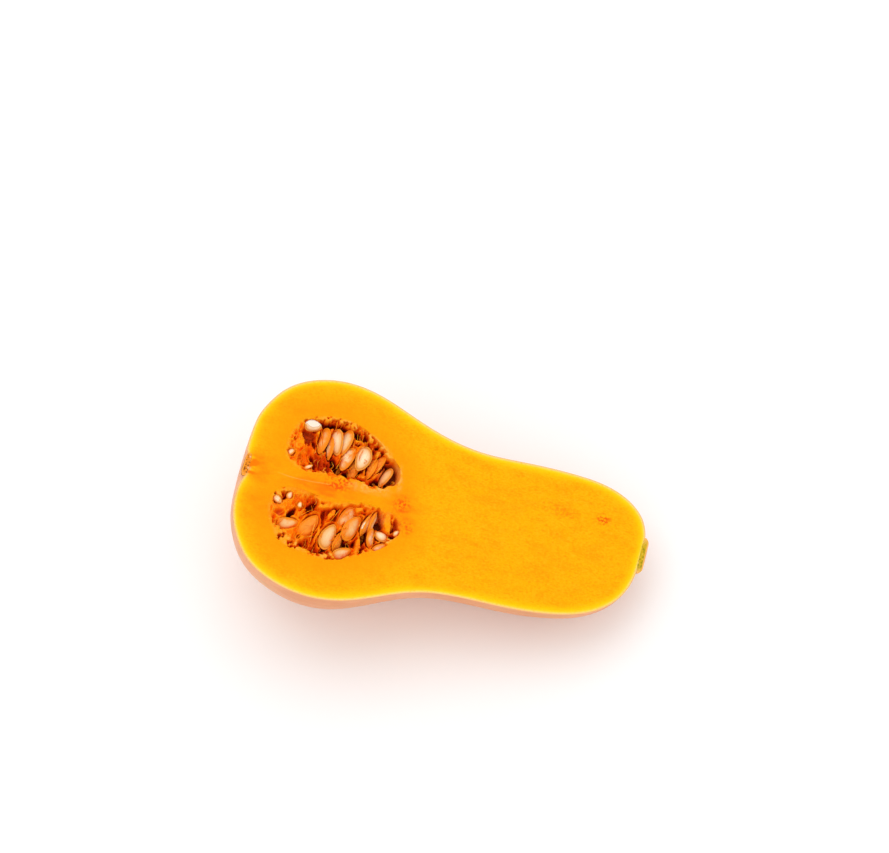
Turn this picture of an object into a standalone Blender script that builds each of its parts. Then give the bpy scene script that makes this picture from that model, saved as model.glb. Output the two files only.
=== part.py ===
# Half of a butternut squash, cut lengthwise, lying on its skin with the cut face up.
# Units are metres. Every piece is modelled in the fruit's own frame: x runs along the fruit from the
# blossom end to the stem end, y across the cut face, and the knife's plane is z = 0 with the half
# below it. One empty then turns and lifts the whole half to the way it rests, with +Z up.
import math
import random

import bmesh
import bpy
import numpy as np
from mathutils import Vector

# Driving dimensions of the fruit
FRUIT_LENGTH = 0.230  # blossom end to stem end
BULB_HALF_WIDTH = 0.065  # half the width of the cut face across the bulb
BULB_DEPTH, NECK_DEPTH = 1.02, 0.97  # stretch of the round back away from the cut
BULB_DROP, NECK_DROP = 0.09, 0.045  # how far below the cut it is widest, as a share of the half width
RIB_DEPTH = 0.013  # swell of a rib at the stem end, as a share of the radius
RIB_DEPTH_BULB = 0.003  # and over the bulb
RIBS_AROUND = 10  # on the whole fruit
REST_FLAT = 0.0009  # how much of the round back is pressed flat where it rests
WAIST = 0.55  # share of the length that parts the bulb's resting spot from the neck's

# The cut face's edge, station by station: share of the length, then share of BULB_HALF_WIDTH.
UPPER_EDGE = (
    (-0.004, 0.12), (-0.003, 0.28), (0.006, 0.46), (0.027, 0.615), (0.065, 0.783), (0.130, 0.911),
    (0.217, 0.955), (0.304, 0.894), (0.391, 0.768), (0.478, 0.655), (0.565, 0.595), (0.690, 0.594),
    (0.804, 0.588), (0.891, 0.546), (0.948, 0.451), (0.983, 0.315), (0.998, 0.138),
)
LOWER_EDGE = (
    (-0.006, -0.15), (-0.0135, -0.31), (-0.010, -0.46), (0.004, -0.615), (0.0435, -0.826),
    (0.122, -0.988), (0.217, -1.045), (0.304, -0.997), (0.391, -0.8815), (0.478, -0.785),
    (0.565, -0.757), (0.687, -0.757), (0.796, -0.726), (0.883, -0.646), (0.939, -0.523),
    (0.976, -0.354), (0.993, -0.17),
)

# The two seed chambers that the cut opens, by points on their rims, and how deep they go
UPPER_RIM = (
    (0.086, 0.012), (0.080, 0.022), (0.067, 0.033), (0.052, 0.039), (0.037, 0.038), (0.026, 0.033),
    (0.021, 0.022), (0.021, 0.012), (0.028, 0.006), (0.046, 0.0055), (0.064, 0.005), (0.079, 0.0045),
)
LOWER_RIM = (
    (0.091, -0.017), (0.086, -0.026), (0.075, -0.034), (0.063, -0.0405), (0.050, -0.0435),
    (0.038, -0.042), (0.027, -0.039), (0.019, -0.029), (0.017, -0.016), (0.022, -0.0095),
    (0.038, -0.0085), (0.052, -0.011), (0.064, -0.0085), (0.078, -0.0085), (0.087, -0.011),
)
CHAMBER_DEPTH = 0.024
GAP = 0.0004  # clearance between the pulp and the flesh round it

# Seeds: length, width and thickness of a full one, then where each lies and how.
SEED_LENGTH, SEED_WIDTH, SEED_THICKNESS = 0.0165, 0.0088, 0.0034
# x, y, z of its middle, the way its pointed end looks, its roll about its length, its size as a share
# of a full seed. 0 degrees looks to the stem end, and a roll of 90 stands the seed on its edge.
UPPER_SEEDS = (
    (0.0315, 0.0321, -0.0020, 181, 40, 0.75),
    (0.0404, 0.0257, -0.0050, 266, 50, 1.00),
    (0.0449, 0.0223, -0.0055, 272, 78, 0.88),
    (0.0480, 0.0269, -0.0050, 283, 42, 0.97),
    (0.0525, 0.0282, -0.0055, 265, 60, 1.00),
    (0.0559, 0.0191, -0.0065, 250, 35, 0.97),
    (0.0639, 0.0196, -0.0035, 259, 8, 0.95),
    (0.0606, 0.0139, -0.0080, 261, 40, 0.80),
    (0.0790, 0.0124, -0.0055, 250, 55, 0.80),
    (0.0697, 0.0154, -0.0060, 255, 65, 0.85),
    (0.0732, 0.0189, -0.0065, 251, 60, 0.85),
    (0.0229, 0.0141, -0.0012, 254, 0, 0.32),
    (0.0344, 0.0085, -0.0018, 225, 0, 0.30),
)
LOWER_SEEDS = (
    (0.0283, -0.0274, -0.0040, 22, 30, 0.76),
    (0.0408, -0.0257, -0.0050, 66, 15, 0.95),
    (0.0524, -0.0299, -0.0035, 75, 12, 0.97),
    (0.0611, -0.0157, -0.0060, 73, 5, 0.90),
    (0.0646, -0.0216, -0.0040, 68, 25, 1.00),
    (0.0725, -0.0179, -0.0040, 73, 75, 0.90),
    (0.0756, -0.0155, -0.0045, 76, 80, 0.85),
    (0.0763, -0.0246, -0.0050, 88, 50, 0.72),
    (0.0818, -0.0225, -0.0050, 162, 20, 0.60),
    (0.0613, -0.0375, -0.0040, 32, 35, 0.74),
    (0.0820, -0.0280, -0.0030, 34, 60, 0.50),
    (0.0215, -0.0160, -0.0016, 342, 0, 0.36),
    (0.0270, -0.0120, -0.0014, 74, 0, 0.32),
    (0.0337, -0.0154, -0.0016, 92, 0, 0.28),
    (0.0586, -0.0308, -0.0060, 75, 60, 0.85),
)
SEED_TAPER = 0.28  # how much narrower a seed is at its pointed end
SEED_SIDES, SEED_RINGS = 10, 6

# Pulp: its bed sinks away from the rim and stands in ridges that run from the core to the wall
BED_RIM = -0.0016  # height of the bed at the chamber's rim
BED_SHALLOW, BED_DEEP = -0.0030, -0.0095  # height at the blossom end and at the stem end of a chamber
BED_RIDGE = 0.0022  # swell of a ridge
RIDGE_SPACING = 0.0068  # ridge to ridge, the spacing of the seeds
STRANDS = 9  # threads of pulp over each chamber
STRAND_RADIUS = 0.0010
STRAND_SIDES_RESOLUTION = 1
STRAND_STEPS = 7
SEED_OF_DRAW = 11

# Ends of the fruit
SCAR_RADIUS, SCAR_HEIGHT = 0.0066, 0.0019
SCAR_Y = 0.0
STEM_RADIUS, STEM_HEIGHT = 0.0100, 0.0042
STEM_Y = -0.0020
STEM_RIDGES, STEM_RIDGE_DEPTH = 5, 0.07
END_GAP = 0.0004

# Facets
STEPS_PER_STATION = 2
BACK_SEGMENTS = 30
BOWL_RINGS = 6
RIM_STEPS = 3
ROUND_SEGMENTS = 20
WELD = 1e-6


def clear_scene():
    for obj in list(bpy.data.objects):
        bpy.data.objects.remove(obj, do_unlink=True)


def finish(name, colour, roughness):
    """A plain Principled finish."""
    material = bpy.data.materials.new(name)
    material.use_nodes = True
    shader = material.node_tree.nodes["Principled BSDF"]
    shader.inputs["Base Color"].default_value = (*colour, 1.0)
    shader.inputs["Roughness"].default_value = roughness
    shader.inputs["Metallic"].default_value = 0.0
    return material


def blend(value, low, high):
    """0 up to low, 1 from high on, and a smooth step between."""
    share = min(max((value - low) / (high - low), 0), 1)
    return share * share * (3 - 2 * share)


def closed_spline(points, steps):
    """Points on the smooth closed curve through the given ones: a cubic spline, steps to a stretch."""
    here = np.array(points, float)
    after = np.roll(here, -1, axis=0)
    stretch = np.linalg.norm(after - here, axis=1)
    before = np.roll(stretch, 1)
    slope = (after - here) / stretch[:, None]
    size = len(here)
    row = np.arange(size)
    matrix = np.zeros((size, size))
    matrix[row, row] = 2 * (before + stretch)
    matrix[row, row - 1] = before
    matrix[row, (row + 1) % size] = stretch
    bend = np.linalg.solve(matrix, 6 * (slope - np.roll(slope, 1, axis=0)))
    bend_after = np.roll(bend, -1, axis=0)
    curve = []
    for step in range(steps):
        b = step / steps
        a = 1 - b
        curve.append(
            a * here
            + b * after
            + ((a**3 - a) * bend + (b**3 - b) * bend_after) * (stretch**2)[:, None] / 6
        )
    return np.stack(curve, axis=1).reshape(-1, 2)


def face_edges():
    """Matching points on the upper and the lower edge of the cut face, blossom end to stem end."""
    ends = np.array([(0.0, 0.0)]), np.array([(1.0, 0.0)])
    loop = np.vstack([ends[0], UPPER_EDGE, ends[1], LOWER_EDGE[::-1]])
    loop = closed_spline(loop * (FRUIT_LENGTH, BULB_HALF_WIDTH), STEPS_PER_STATION)
    half = len(loop) // 2
    return loop[: half + 1], np.vstack([loop[:1], loop[half:][::-1]])


def object_from(name, bm, collection, material=None):
    mesh = bpy.data.meshes.new(name)
    bm.normal_update()
    bmesh.ops.recalc_face_normals(bm, faces=bm.faces)
    bm.to_mesh(mesh)
    bm.free()
    obj = bpy.data.objects.new(name, mesh)
    collection.objects.link(obj)
    if material:
        mesh.materials.append(material)
    return obj


def loft(rings, closed):
    """A bmesh skin over rings of points. A ring whose points coincide becomes a pole."""
    bm = bmesh.new()
    rows = [[bm.verts.new(point) for point in ring] for ring in rings]
    count = len(rows[0])
    for one, two in zip(rows, rows[1:]):
        for k in range(count if closed else count - 1):
            after = (k + 1) % count
            bm.faces.new((one[k], one[after], two[after], two[k]))
    bmesh.ops.remove_doubles(bm, verts=bm.verts, dist=WELD)
    return bm


def close_openings(bm):
    edges = [edge for edge in bm.edges if edge.is_boundary]
    if edges:
        bmesh.ops.edgeloop_fill(bm, edges=edges)


def cut_at_face(bm):
    """The knife: all above z = 0 is taken away, and the cut is closed flat."""
    bmesh.ops.bisect_plane(
        bm,
        geom=bm.verts[:] + bm.edges[:] + bm.faces[:],
        dist=WELD,
        plane_co=(0, 0, 0),
        plane_no=(0, 0, 1),
        clear_outer=True,
    )
    close_openings(bm)


def back_rings():
    """Half rings of the skin, station by station, from the upper edge round the back to the lower."""
    upper, lower = face_edges()
    rings = []
    for one, two in zip(upper, lower):
        centre, arm = (one + two) / 2, (one - two) / 2
        along = min(max(centre[0] / FRUIT_LENGTH, 0), 1)
        to_neck = blend(along, 0.30, 0.62)
        depth = np.hypot(*arm) * (BULB_DEPTH + (NECK_DEPTH - BULB_DEPTH) * to_neck)
        drop = (BULB_DROP + (NECK_DROP - BULB_DROP) * to_neck) * blend(along, 0.0, 0.30)
        start = math.atan(drop)
        turn = np.linspace(-start, math.pi + start, BACK_SEGMENTS + 1)
        round_width = np.cos(turn) / math.cos(start)
        round_depth = drop + np.sin(turn) / math.cos(start)
        rib = RIB_DEPTH_BULB + (RIB_DEPTH - RIB_DEPTH_BULB) * along**3
        swell = 1 + rib * round_depth * np.cos(RIBS_AROUND * turn)
        ring = np.zeros((len(turn), 3))
        ring[:, :2] = centre + np.outer(round_width * swell, arm)
        ring[:, 2] = -depth * round_depth * swell
        ring[[0, -1], 2] = 0
        rings.append(ring)
    return np.array(rings)


def resting_pose(points):
    """Tilt about y, and lift, that set the bulb and the neck down on one level."""
    bulb = points[points[:, 0] < WAIST * FRUIT_LENGTH]
    neck = points[points[:, 0] >= WAIST * FRUIT_LENGTH]
    tilt = 0.0
    for _ in range(30):
        down = np.array((math.sin(tilt), 0, -math.cos(tilt)))
        low_bulb = bulb[np.argmax(bulb @ down)]
        low_neck = neck[np.argmax(neck @ down)]
        rise = low_neck - low_bulb
        tilt = math.atan2(rise[2], rise[0])
    return tilt, float(low_bulb @ down) - REST_FLAT


def press_flat(points, tilt, lift):
    """Moves what lies lower than the surface that it rests on up to that surface."""
    up = np.array((-math.sin(tilt), 0, math.cos(tilt)))
    under = np.minimum(points @ up + lift, 0)
    return points - under[..., None] * up


def bowl(rim, grow, past_face):
    """A seed chamber's hollow as a solid: grow widens it. It stops at the cut, or goes on past it."""
    edge = closed_spline(rim, RIM_STEPS)
    centre = edge.mean(axis=0)
    reach = edge - centre
    reach *= (1 + grow / np.linalg.norm(reach, axis=1))[:, None]
    depths, widths = [], []
    for k in range(BOWL_RINGS + 1):
        turn = k / BOWL_RINGS * math.pi / 2
        depths.append((CHAMBER_DEPTH + grow) * math.sin(turn))
        widths.append(math.cos(turn))
    if past_face:
        depths[0], widths[0] = -depths[1], 2 - widths[1]
    rings = []
    for depth, width in zip(depths, widths):
        rings.append([(*(centre + arm * width), -depth) for arm in reach])
    bm = loft(rings, closed=True)
    close_openings(bm)
    return bm


def bed_height(x, rim_share):
    """Height of the pulp: shallow at the blossom end, deep at the stem end, ridged, up at the rim."""
    along = blend(x, 0.024, 0.048)
    floor = BED_SHALLOW + (BED_DEEP - BED_SHALLOW) * along
    floor += BED_RIDGE * along * math.cos(2 * math.pi * x / RIDGE_SPACING)
    edge = rim_share**6
    return floor * (1 - edge) + BED_RIM * edge


def bed(rim):
    """The pulp's bed, a little larger than the chamber, which trims it afterwards."""
    edge = closed_spline(rim, RIM_STEPS)
    centre = edge.mean(axis=0)
    rings = []
    for share in np.linspace(0, 1.03, 10):
        flat = centre + (edge - centre) * share
        rings.append([(x, y, bed_height(x, min(share, 1.0))) for x, y in flat])
    for k in range(1, BOWL_RINGS + 1):
        turn = k / BOWL_RINGS * math.pi / 2
        flat = centre + (edge - centre) * 1.03 * math.cos(turn)
        rings.append([(x, y, -1.06 * CHAMBER_DEPTH * math.sin(turn)) for x, y in flat])
    return loft(rings, closed=True)


def seed(place):
    """One seed: a flattened ball, drawn out to its pointed end, then laid in its place."""
    x, y, z, heading, roll, size = place
    bm = bmesh.new()
    bmesh.ops.create_uvsphere(bm, u_segments=SEED_SIDES, v_segments=SEED_RINGS, radius=0.5)
    for vert in bm.verts:
        across, through, along = vert.co
        narrow = 1 - SEED_TAPER * (2 * along)
        vert.co = Vector(
            (
                along * SEED_LENGTH * size,
                across * SEED_WIDTH * size * narrow,
                through * SEED_THICKNESS * size**0.5,
            )
        )
    turn = Vector((1, 0, 0)).rotation_difference(
        Vector((math.cos(math.radians(heading)), math.sin(math.radians(heading)), 0))
    )
    if heading == 180:
        raise ValueError("a heading of exactly 180 has no single turn")
    from_roll = Vector((0, 0, 1))
    lie = from_roll.copy()
    lie.rotate(turn)
    for vert in bm.verts:
        rolled = vert.co.copy()
        angle = math.radians(roll)
        rolled.y = vert.co.y * math.cos(angle) - vert.co.z * math.sin(angle)
        rolled.z = vert.co.y * math.sin(angle) + vert.co.z * math.cos(angle)
        rolled.rotate(turn)
        vert.co = rolled + Vector((x, y, z))
    return bm


def strand(name, points, radius, collection):
    """A thread of pulp: a tube along the points, made a mesh with its caps welded on."""
    curve = bpy.data.curves.new(name, "CURVE")
    curve.dimensions = "3D"
    curve.bevel_depth = radius
    curve.bevel_resolution = STRAND_SIDES_RESOLUTION
    curve.use_fill_caps = True
    line = curve.splines.new("POLY")
    line.points.add(len(points) - 1)
    for spot, point in zip(line.points, points):
        spot.co = (*point, 1)
    guide = bpy.data.objects.new(name, curve)
    collection.objects.link(guide)
    graph = bpy.context.evaluated_depsgraph_get()
    bm = bmesh.new()
    made = bpy.data.meshes.new_from_object(guide.evaluated_get(graph))
    bm.from_mesh(made)
    bpy.data.meshes.remove(made)
    bpy.data.objects.remove(guide, do_unlink=True)
    bmesh.ops.remove_doubles(bm, verts=bm.verts, dist=WELD)
    return object_from(name, bm, collection)


def strands(rim, collection):
    """Threads from the core to the outer wall, by a rule: evenly along the chamber, each a little off."""
    draw = random.Random(SEED_OF_DRAW)
    edge = closed_spline(rim, RIM_STEPS)
    middle = edge[:, 1].mean()
    inner = edge[np.abs(edge[:, 1]) < abs(middle)]
    outer = edge[np.abs(edge[:, 1]) >= abs(middle)]
    inner, outer = inner[inner[:, 0].argsort()], outer[outer[:, 0].argsort()]
    low, high = edge[:, 0].min(), edge[:, 0].max()
    for k in range(STRANDS):
        share = (k + 0.5) / STRANDS
        x = low + (high - low) * (0.10 + 0.80 * share)
        x_in = x + draw.uniform(-0.0015, 0.0015)
        x_out = x + draw.uniform(-0.0030, 0.0030)
        start = np.array((x_in, np.interp(x_in, *inner.T), -0.0025))
        end = np.array((x_out, np.interp(x_out, *outer.T), -0.0025))
        sag = draw.uniform(0.0035, 0.0065)
        bow = draw.uniform(-0.0020, 0.0020)
        points = []
        for step in range(STRAND_STEPS):
            along = step / (STRAND_STEPS - 1)
            arch = math.sin(math.pi * along)
            point = start + (end - start) * along
            points.append((point[0] + bow * arch, point[1], point[2] - sag * arch))
        strand(f"strand_{k}", points, STRAND_RADIUS * draw.uniform(0.8, 1.2), collection)


def apply_modifiers(obj):
    graph = bpy.context.evaluated_depsgraph_get()
    made = bpy.data.meshes.new_from_object(obj.evaluated_get(graph))
    obj.modifiers.clear()
    old = obj.data
    obj.data = made
    bpy.data.meshes.remove(old)


def keep_largest_body(obj):
    """Drops scraps that the knife left loose, and fills any hollow that the join sealed."""
    bm = bmesh.new()
    bm.from_mesh(obj.data)
    left, bodies = set(bm.verts), []
    while left:
        body, edge = set(), [left.pop()]
        while edge:
            vert = edge.pop()
            body.add(vert)
            for link in vert.link_edges:
                other = link.other_vert(vert)
                if other in left:
                    left.remove(other)
                    edge.append(other)
        bodies.append(body)
    bodies.sort(key=len)
    for body in bodies[:-1]:
        bmesh.ops.delete(bm, geom=list(body), context="VERTS")
    bm.to_mesh(obj.data)
    bm.free()


def join(obj, collection):
    """One union of obj with everything in the collection, which is then removed."""
    modifier = obj.modifiers.new("join", "BOOLEAN")
    modifier.operation = "UNION"
    modifier.operand_type = "COLLECTION"
    modifier.collection = collection
    modifier.solver = "MANIFOLD"  # the exact solver loses the trim that follows on this many crossings
    apply_modifiers(obj)
    for piece in list(collection.objects):
        bpy.data.objects.remove(piece, do_unlink=True)
    bpy.data.collections.remove(collection)


def trim(obj, cutter, operation, solver="EXACT"):
    modifier = obj.modifiers.new("trim", "BOOLEAN")
    modifier.operation = operation
    modifier.object = cutter
    modifier.solver = solver
    apply_modifiers(obj)


def squash_half(parts, cutters, material):
    """Flesh and skin, one grown piece: the round back, the flat cut and the two open chambers."""
    rings = back_rings()
    tilt, lift = resting_pose(rings.reshape(-1, 3))
    bm = loft(press_flat(rings, tilt, lift), closed=False)
    close_openings(bm)
    body = object_from("squash_half", bm, parts, material)
    for name, rim in (("upper", UPPER_RIM), ("lower", LOWER_RIM)):
        hollow = object_from(f"hollow_{name}", bowl(rim, 0.0, True), cutters)
        hollow.hide_render = True
        hollow.display_type = "WIRE"
        trim(body, hollow, "DIFFERENCE")
    return body, tilt, lift


def pulp_with_seeds(name, rim, seeds, parts, cutters, material):
    """One chamber's pulp: its bed, seeds and threads fused, then trimmed by the wall and the knife."""
    pulp = object_from(name, bed(rim), parts)
    bits = bpy.data.collections.new(f"{name}_bits")
    bpy.context.scene.collection.children.link(bits)
    for k, place in enumerate(seeds):
        object_from(f"seed_{k}", seed(place), bits)
    strands(rim, bits)
    join(pulp, bits)
    room = object_from(f"room_{name}", bowl(rim, -GAP, False), cutters)
    room.hide_render = True
    room.display_type = "WIRE"
    trim(pulp, room, "INTERSECT", "MANIFOLD")
    keep_largest_body(pulp)
    pulp.data.materials.clear()
    pulp.data.materials.append(material)
    return pulp


def turned_end(profile, centre_y, ridges, ridge_depth):
    """A piece turned about the fruit's axis from (x, radius) pairs, ridged, then cut by the knife."""
    turn = np.arange(ROUND_SEGMENTS) / ROUND_SEGMENTS * 2 * math.pi
    rings = []
    for x, radius in profile:
        reach = radius * (1 + ridge_depth * np.cos(ridges * turn))
        rings.append(
            np.column_stack(
                (np.full(len(turn), x), centre_y + reach * np.cos(turn), reach * np.sin(turn))
            )
        )
    bm = loft(rings, closed=True)
    cut_at_face(bm)
    return bm


def blossom_scar(parts, material):
    """The corky button that the flower left, in the dimple of the bulb."""
    seat = -0.0016 - END_GAP
    profile = (
        (-END_GAP - 0.0002, 0.0),
        (seat + 0.0006, SCAR_RADIUS * 0.7),
        (seat, SCAR_RADIUS),
        (seat - SCAR_HEIGHT * 0.55, SCAR_RADIUS * 0.96),
        (seat - SCAR_HEIGHT * 0.75, SCAR_RADIUS * 0.70),
        (seat - SCAR_HEIGHT * 0.50, SCAR_RADIUS * 0.35),
        (seat - SCAR_HEIGHT * 0.65, 0.0),
    )
    return object_from("blossom_scar", turned_end(profile, SCAR_Y, 7, 0.05), parts, material)


def stem_stub(parts, material):
    """The short stump of the stem, broken off close to the fruit."""
    seat = FRUIT_LENGTH + END_GAP
    profile = (
        (seat, 0.0),
        (seat, STEM_RADIUS * 0.5),
        (seat - 0.0002, STEM_RADIUS * 1.02),
        (seat + STEM_HEIGHT * 0.30, STEM_RADIUS * 1.04),
        (seat + STEM_HEIGHT * 0.65, STEM_RADIUS * 0.93),
        (seat + STEM_HEIGHT, STEM_RADIUS * 0.86),
        (seat + STEM_HEIGHT * 0.90, STEM_RADIUS * 0.60),
        (seat + STEM_HEIGHT * 0.70, 0.0),
    )
    bm = turned_end(profile, STEM_Y, STEM_RIDGES, STEM_RIDGE_DEPTH)
    return object_from("stem_stub", bm, parts, material)


def set_down(pieces, tilt, lift):
    """Turns and lifts all pieces by one empty, and centres them over the origin."""
    frame = bpy.data.objects.new("rest_frame", None)
    bpy.context.scene.collection.objects.link(frame)
    frame.rotation_euler = (0, tilt, 0)
    frame.location = (0, 0, lift)
    for piece in pieces:
        piece.parent = frame
    bpy.context.view_layer.update()
    spots = np.array([tuple(p.matrix_world @ v.co) for p in pieces for v in p.data.vertices])
    centre = (spots.max(axis=0) + spots.min(axis=0)) / 2
    frame.location = (-centre[0], -centre[1], lift)


def smooth(pieces):
    for piece in pieces:
        piece.data.shade_smooth()
        piece.data.set_sharp_from_angle(angle=math.radians(40))


def main():
    clear_scene()
    parts = bpy.data.collections.new("butternut_squash_half")
    cutters = bpy.data.collections.new("cutters")
    for collection in (parts, cutters):
        bpy.context.scene.collection.children.link(collection)
    flesh = finish("flesh_and_skin", (1.0, 0.42, 0.01), 0.45)
    pulp = finish("pulp_and_seeds", (0.85, 0.22, 0.01), 0.40)
    cork = finish("blossom_cork", (0.35, 0.20, 0.08), 0.85)
    stem = finish("stem_wood", (0.60, 0.50, 0.16), 0.75)
    body, tilt, lift = squash_half(parts, cutters, flesh)
    pieces = [
        body,
        pulp_with_seeds("pulp_seeds_upper", UPPER_RIM, UPPER_SEEDS, parts, cutters, pulp),
        pulp_with_seeds("pulp_seeds_lower", LOWER_RIM, LOWER_SEEDS, parts, cutters, pulp),
        blossom_scar(parts, cork),
        stem_stub(parts, stem),
    ]
    smooth(pieces)
    set_down(pieces, tilt, lift)
    for cutter in list(cutters.objects):
        cutter.parent = pieces[0].parent


main()
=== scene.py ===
import functools
import math

import bmesh
import bpy
import numpy as np
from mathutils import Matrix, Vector, geometry


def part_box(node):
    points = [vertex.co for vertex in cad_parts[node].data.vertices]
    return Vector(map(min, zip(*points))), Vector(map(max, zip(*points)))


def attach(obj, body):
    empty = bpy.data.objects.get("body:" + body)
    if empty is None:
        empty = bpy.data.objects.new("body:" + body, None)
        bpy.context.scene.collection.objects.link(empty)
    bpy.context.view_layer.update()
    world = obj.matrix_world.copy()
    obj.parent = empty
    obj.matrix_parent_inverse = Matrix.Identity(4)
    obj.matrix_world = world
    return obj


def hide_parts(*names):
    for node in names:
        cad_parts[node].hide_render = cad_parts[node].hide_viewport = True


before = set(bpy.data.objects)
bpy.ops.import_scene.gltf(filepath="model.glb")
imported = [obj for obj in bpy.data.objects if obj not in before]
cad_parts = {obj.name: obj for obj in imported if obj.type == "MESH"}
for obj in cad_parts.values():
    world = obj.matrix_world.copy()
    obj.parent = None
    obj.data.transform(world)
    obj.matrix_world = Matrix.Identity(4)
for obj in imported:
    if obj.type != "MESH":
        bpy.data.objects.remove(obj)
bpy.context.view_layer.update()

# Half a butternut squash, cut lengthwise, on its skin with the cut face up.
# Shapes are worked out in millimetres in the fruit's own frame: x from the blossom end to the stem end,
# y across the cut, the knife's plane at z = 0 and the half below it. toRow puts them where the CAD half is.

mm = 0.001

fruit = dict(
    length=230,
    bulbHalfWidth=65,
    bulbStretch=1.02,  # depth of the round back, as a share of its half width
    neckStretch=0.97,
    bulbDrop=0.09,  # how far below the cut it is widest
    neckDrop=0.045,
    neckFrom=(0.30, 0.62),  # shares of the length between which the bulb turns into the neck
    dropFrom=(0.0, 0.30),  # and between which the drop sets in
    ribs=10,
    ribAtStem=0.013,
    ribAtBulb=0.003,
    notch=0.0065,  # how far the cut dips in at the blossom end, as a share of the length
    seam=((16, 0.2), (30, -1.2), (41, -0.9), (54, 0.2)),  # pale line between the chambers
    # soft patches on the cut: x, y, length, width, heading, strength
    warm=((44, -3, 64, 19, 2, 1.0), (47, -5, 26, 12, 0, 1.3), (3, 0.8, 22, 13, 90, 1.5),
          (8, 1, 26, 28, 90, 0.85), (12, -22, 26, 44, 80, 0.4), (90, -5, 36, 30, 90, 0.6),
          (30, 42, 60, 12, 10, 0.25)),
    paler=((70, 2.6, 32, 7.5, 2, 1.0), (86.2, 12, 22, 4.6, 96, 0.85), (72.8, 28.2, 27, 6.5, -36, 0.9)),
    crumbs=((53, 1.8, 22, 13, 10, 1.6), (90, -3, 16, 14, 60, 1.0), (95, -15, 14, 10, 100, 0.9),
            (205.3, 15.0, 13, 10, 0, 1.0), (179, 15, 30, 12, -10, 0.4)),
)

# the cut face's edge: share of the length, share of the bulb's half width, from blossom to stem
upperEdge = (
    (-0.004, 0.12), (-0.003, 0.28), (0.006, 0.46), (0.027, 0.615), (0.065, 0.783), (0.130, 0.911),
    (0.217, 0.955), (0.304, 0.894), (0.391, 0.768), (0.478, 0.655), (0.565, 0.595), (0.690, 0.594),
    (0.804, 0.588), (0.891, 0.546), (0.951, 0.453), (0.989, 0.318), (1.003, 0.145),
)
lowerEdge = (
    (-0.006, -0.15), (-0.0135, -0.31), (-0.010, -0.46), (0.004, -0.615), (0.0435, -0.826),
    (0.122, -0.988), (0.217, -1.045), (0.304, -0.997), (0.391, -0.8815), (0.478, -0.785),
    (0.565, -0.757), (0.687, -0.757), (0.796, -0.726), (0.883, -0.646), (0.939, -0.523),
    (0.976, -0.354), (0.993, -0.17),
)


def smoothStep(value, low, high):
    # 0 up to low, 1 from high on, 3t^2 - 2t^3 between
    share = np.clip((value - low) / (high - low), 0, 1)
    return share * share * (3 - 2 * share)


def closedCurve(points, steps):
    # the closed cubic spline through the points: equal slope and bend on both sides of each point
    here = np.array(points, float)
    after = np.roll(here, -1, axis=0)
    stretch = np.linalg.norm(after - here, axis=1)
    before = np.roll(stretch, 1)
    slope = (after - here) / stretch[:, None]
    row = np.arange(len(here))
    matrix = np.zeros((len(here), len(here)))
    matrix[row, row] = 2 * (before + stretch)
    matrix[row, row - 1] = before
    matrix[row, (row + 1) % len(here)] = stretch
    bend = np.linalg.solve(matrix, 6 * (slope - np.roll(slope, 1, axis=0)))[:, None]
    b = (np.arange(steps) / steps)[None, :, None]
    a = 1 - b
    curve = a * here[:, None] + b * after[:, None]
    curve = curve + (
        ((a**3 - a) * bend + (b**3 - b) * np.roll(bend, -1, axis=0)) * (stretch**2)[:, None, None] / 6
    )
    return curve.reshape(-1, 2)


def grain(x, y, size, draw):
    # value noise from -1 to 1: random numbers on a square net of this size, eased between
    across = 97
    net = np.random.default_rng(draw).uniform(-1, 1, (across, across))
    column, row = np.floor(x / size).astype(int), np.floor(y / size).astype(int)
    alongX, alongY = x / size - column, y / size - row
    alongX, alongY = alongX**2 * (3 - 2 * alongX), alongY**2 * (3 - 2 * alongY)
    right, above = (column + 1) % across, (row + 1) % across
    column, row = column % across, row % across
    low = net[column, row] * (1 - alongX) + net[right, row] * alongX
    high = net[column, above] * (1 - alongX) + net[right, above] * alongX
    return low * (1 - alongY) + high * alongY


def insideDepth(loop, x, y):
    # distance to a closed line, plus inside it and minus outside: nearest point of every segment
    here, after = loop, np.roll(loop, -1, axis=0)
    leg = after - here
    legSquare = (leg**2).sum(axis=1)
    flatX, flatY = np.ravel(x), np.ravel(y)
    found = np.empty(flatX.size)
    for first in range(0, flatX.size, 5000):  # as many at a time as memory takes with ease
        batch = slice(first, first + 5000)
        spotX, spotY = flatX[batch, None], flatY[batch, None]
        awayX, awayY = spotX - here[:, 0], spotY - here[:, 1]
        share = np.clip((awayX * leg[:, 0] + awayY * leg[:, 1]) / legSquare, 0, 1)
        nearest = np.hypot(awayX - share * leg[:, 0], awayY - share * leg[:, 1]).min(axis=1)
        spans = (here[:, 1] > spotY) != (after[:, 1] > spotY)
        rise = np.where(leg[:, 1] == 0, 1, leg[:, 1])
        crossed = spans & (awayX < leg[:, 0] * awayY / rise)
        found[batch] = np.where(crossed.sum(axis=1) % 2 == 1, nearest, -nearest)
    return found.reshape(np.shape(x))


def netFaces(rows, columns, closed, first=0, copies=1):
    # four-sided faces of a net of points stored row by row, closed round each row if asked, and of as many
    # more like it as follow
    count = columns if closed else columns - 1
    row, column = np.meshgrid(np.arange(rows - 1), np.arange(count), indexing="ij")
    here, after = row * columns + column, row * columns + (column + 1) % columns
    one = first + np.stack([here, after, after + columns, here + columns], axis=-1).reshape(-1, 4)
    return (one + np.arange(copies)[:, None, None] * rows * columns).reshape(-1, 4)


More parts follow.
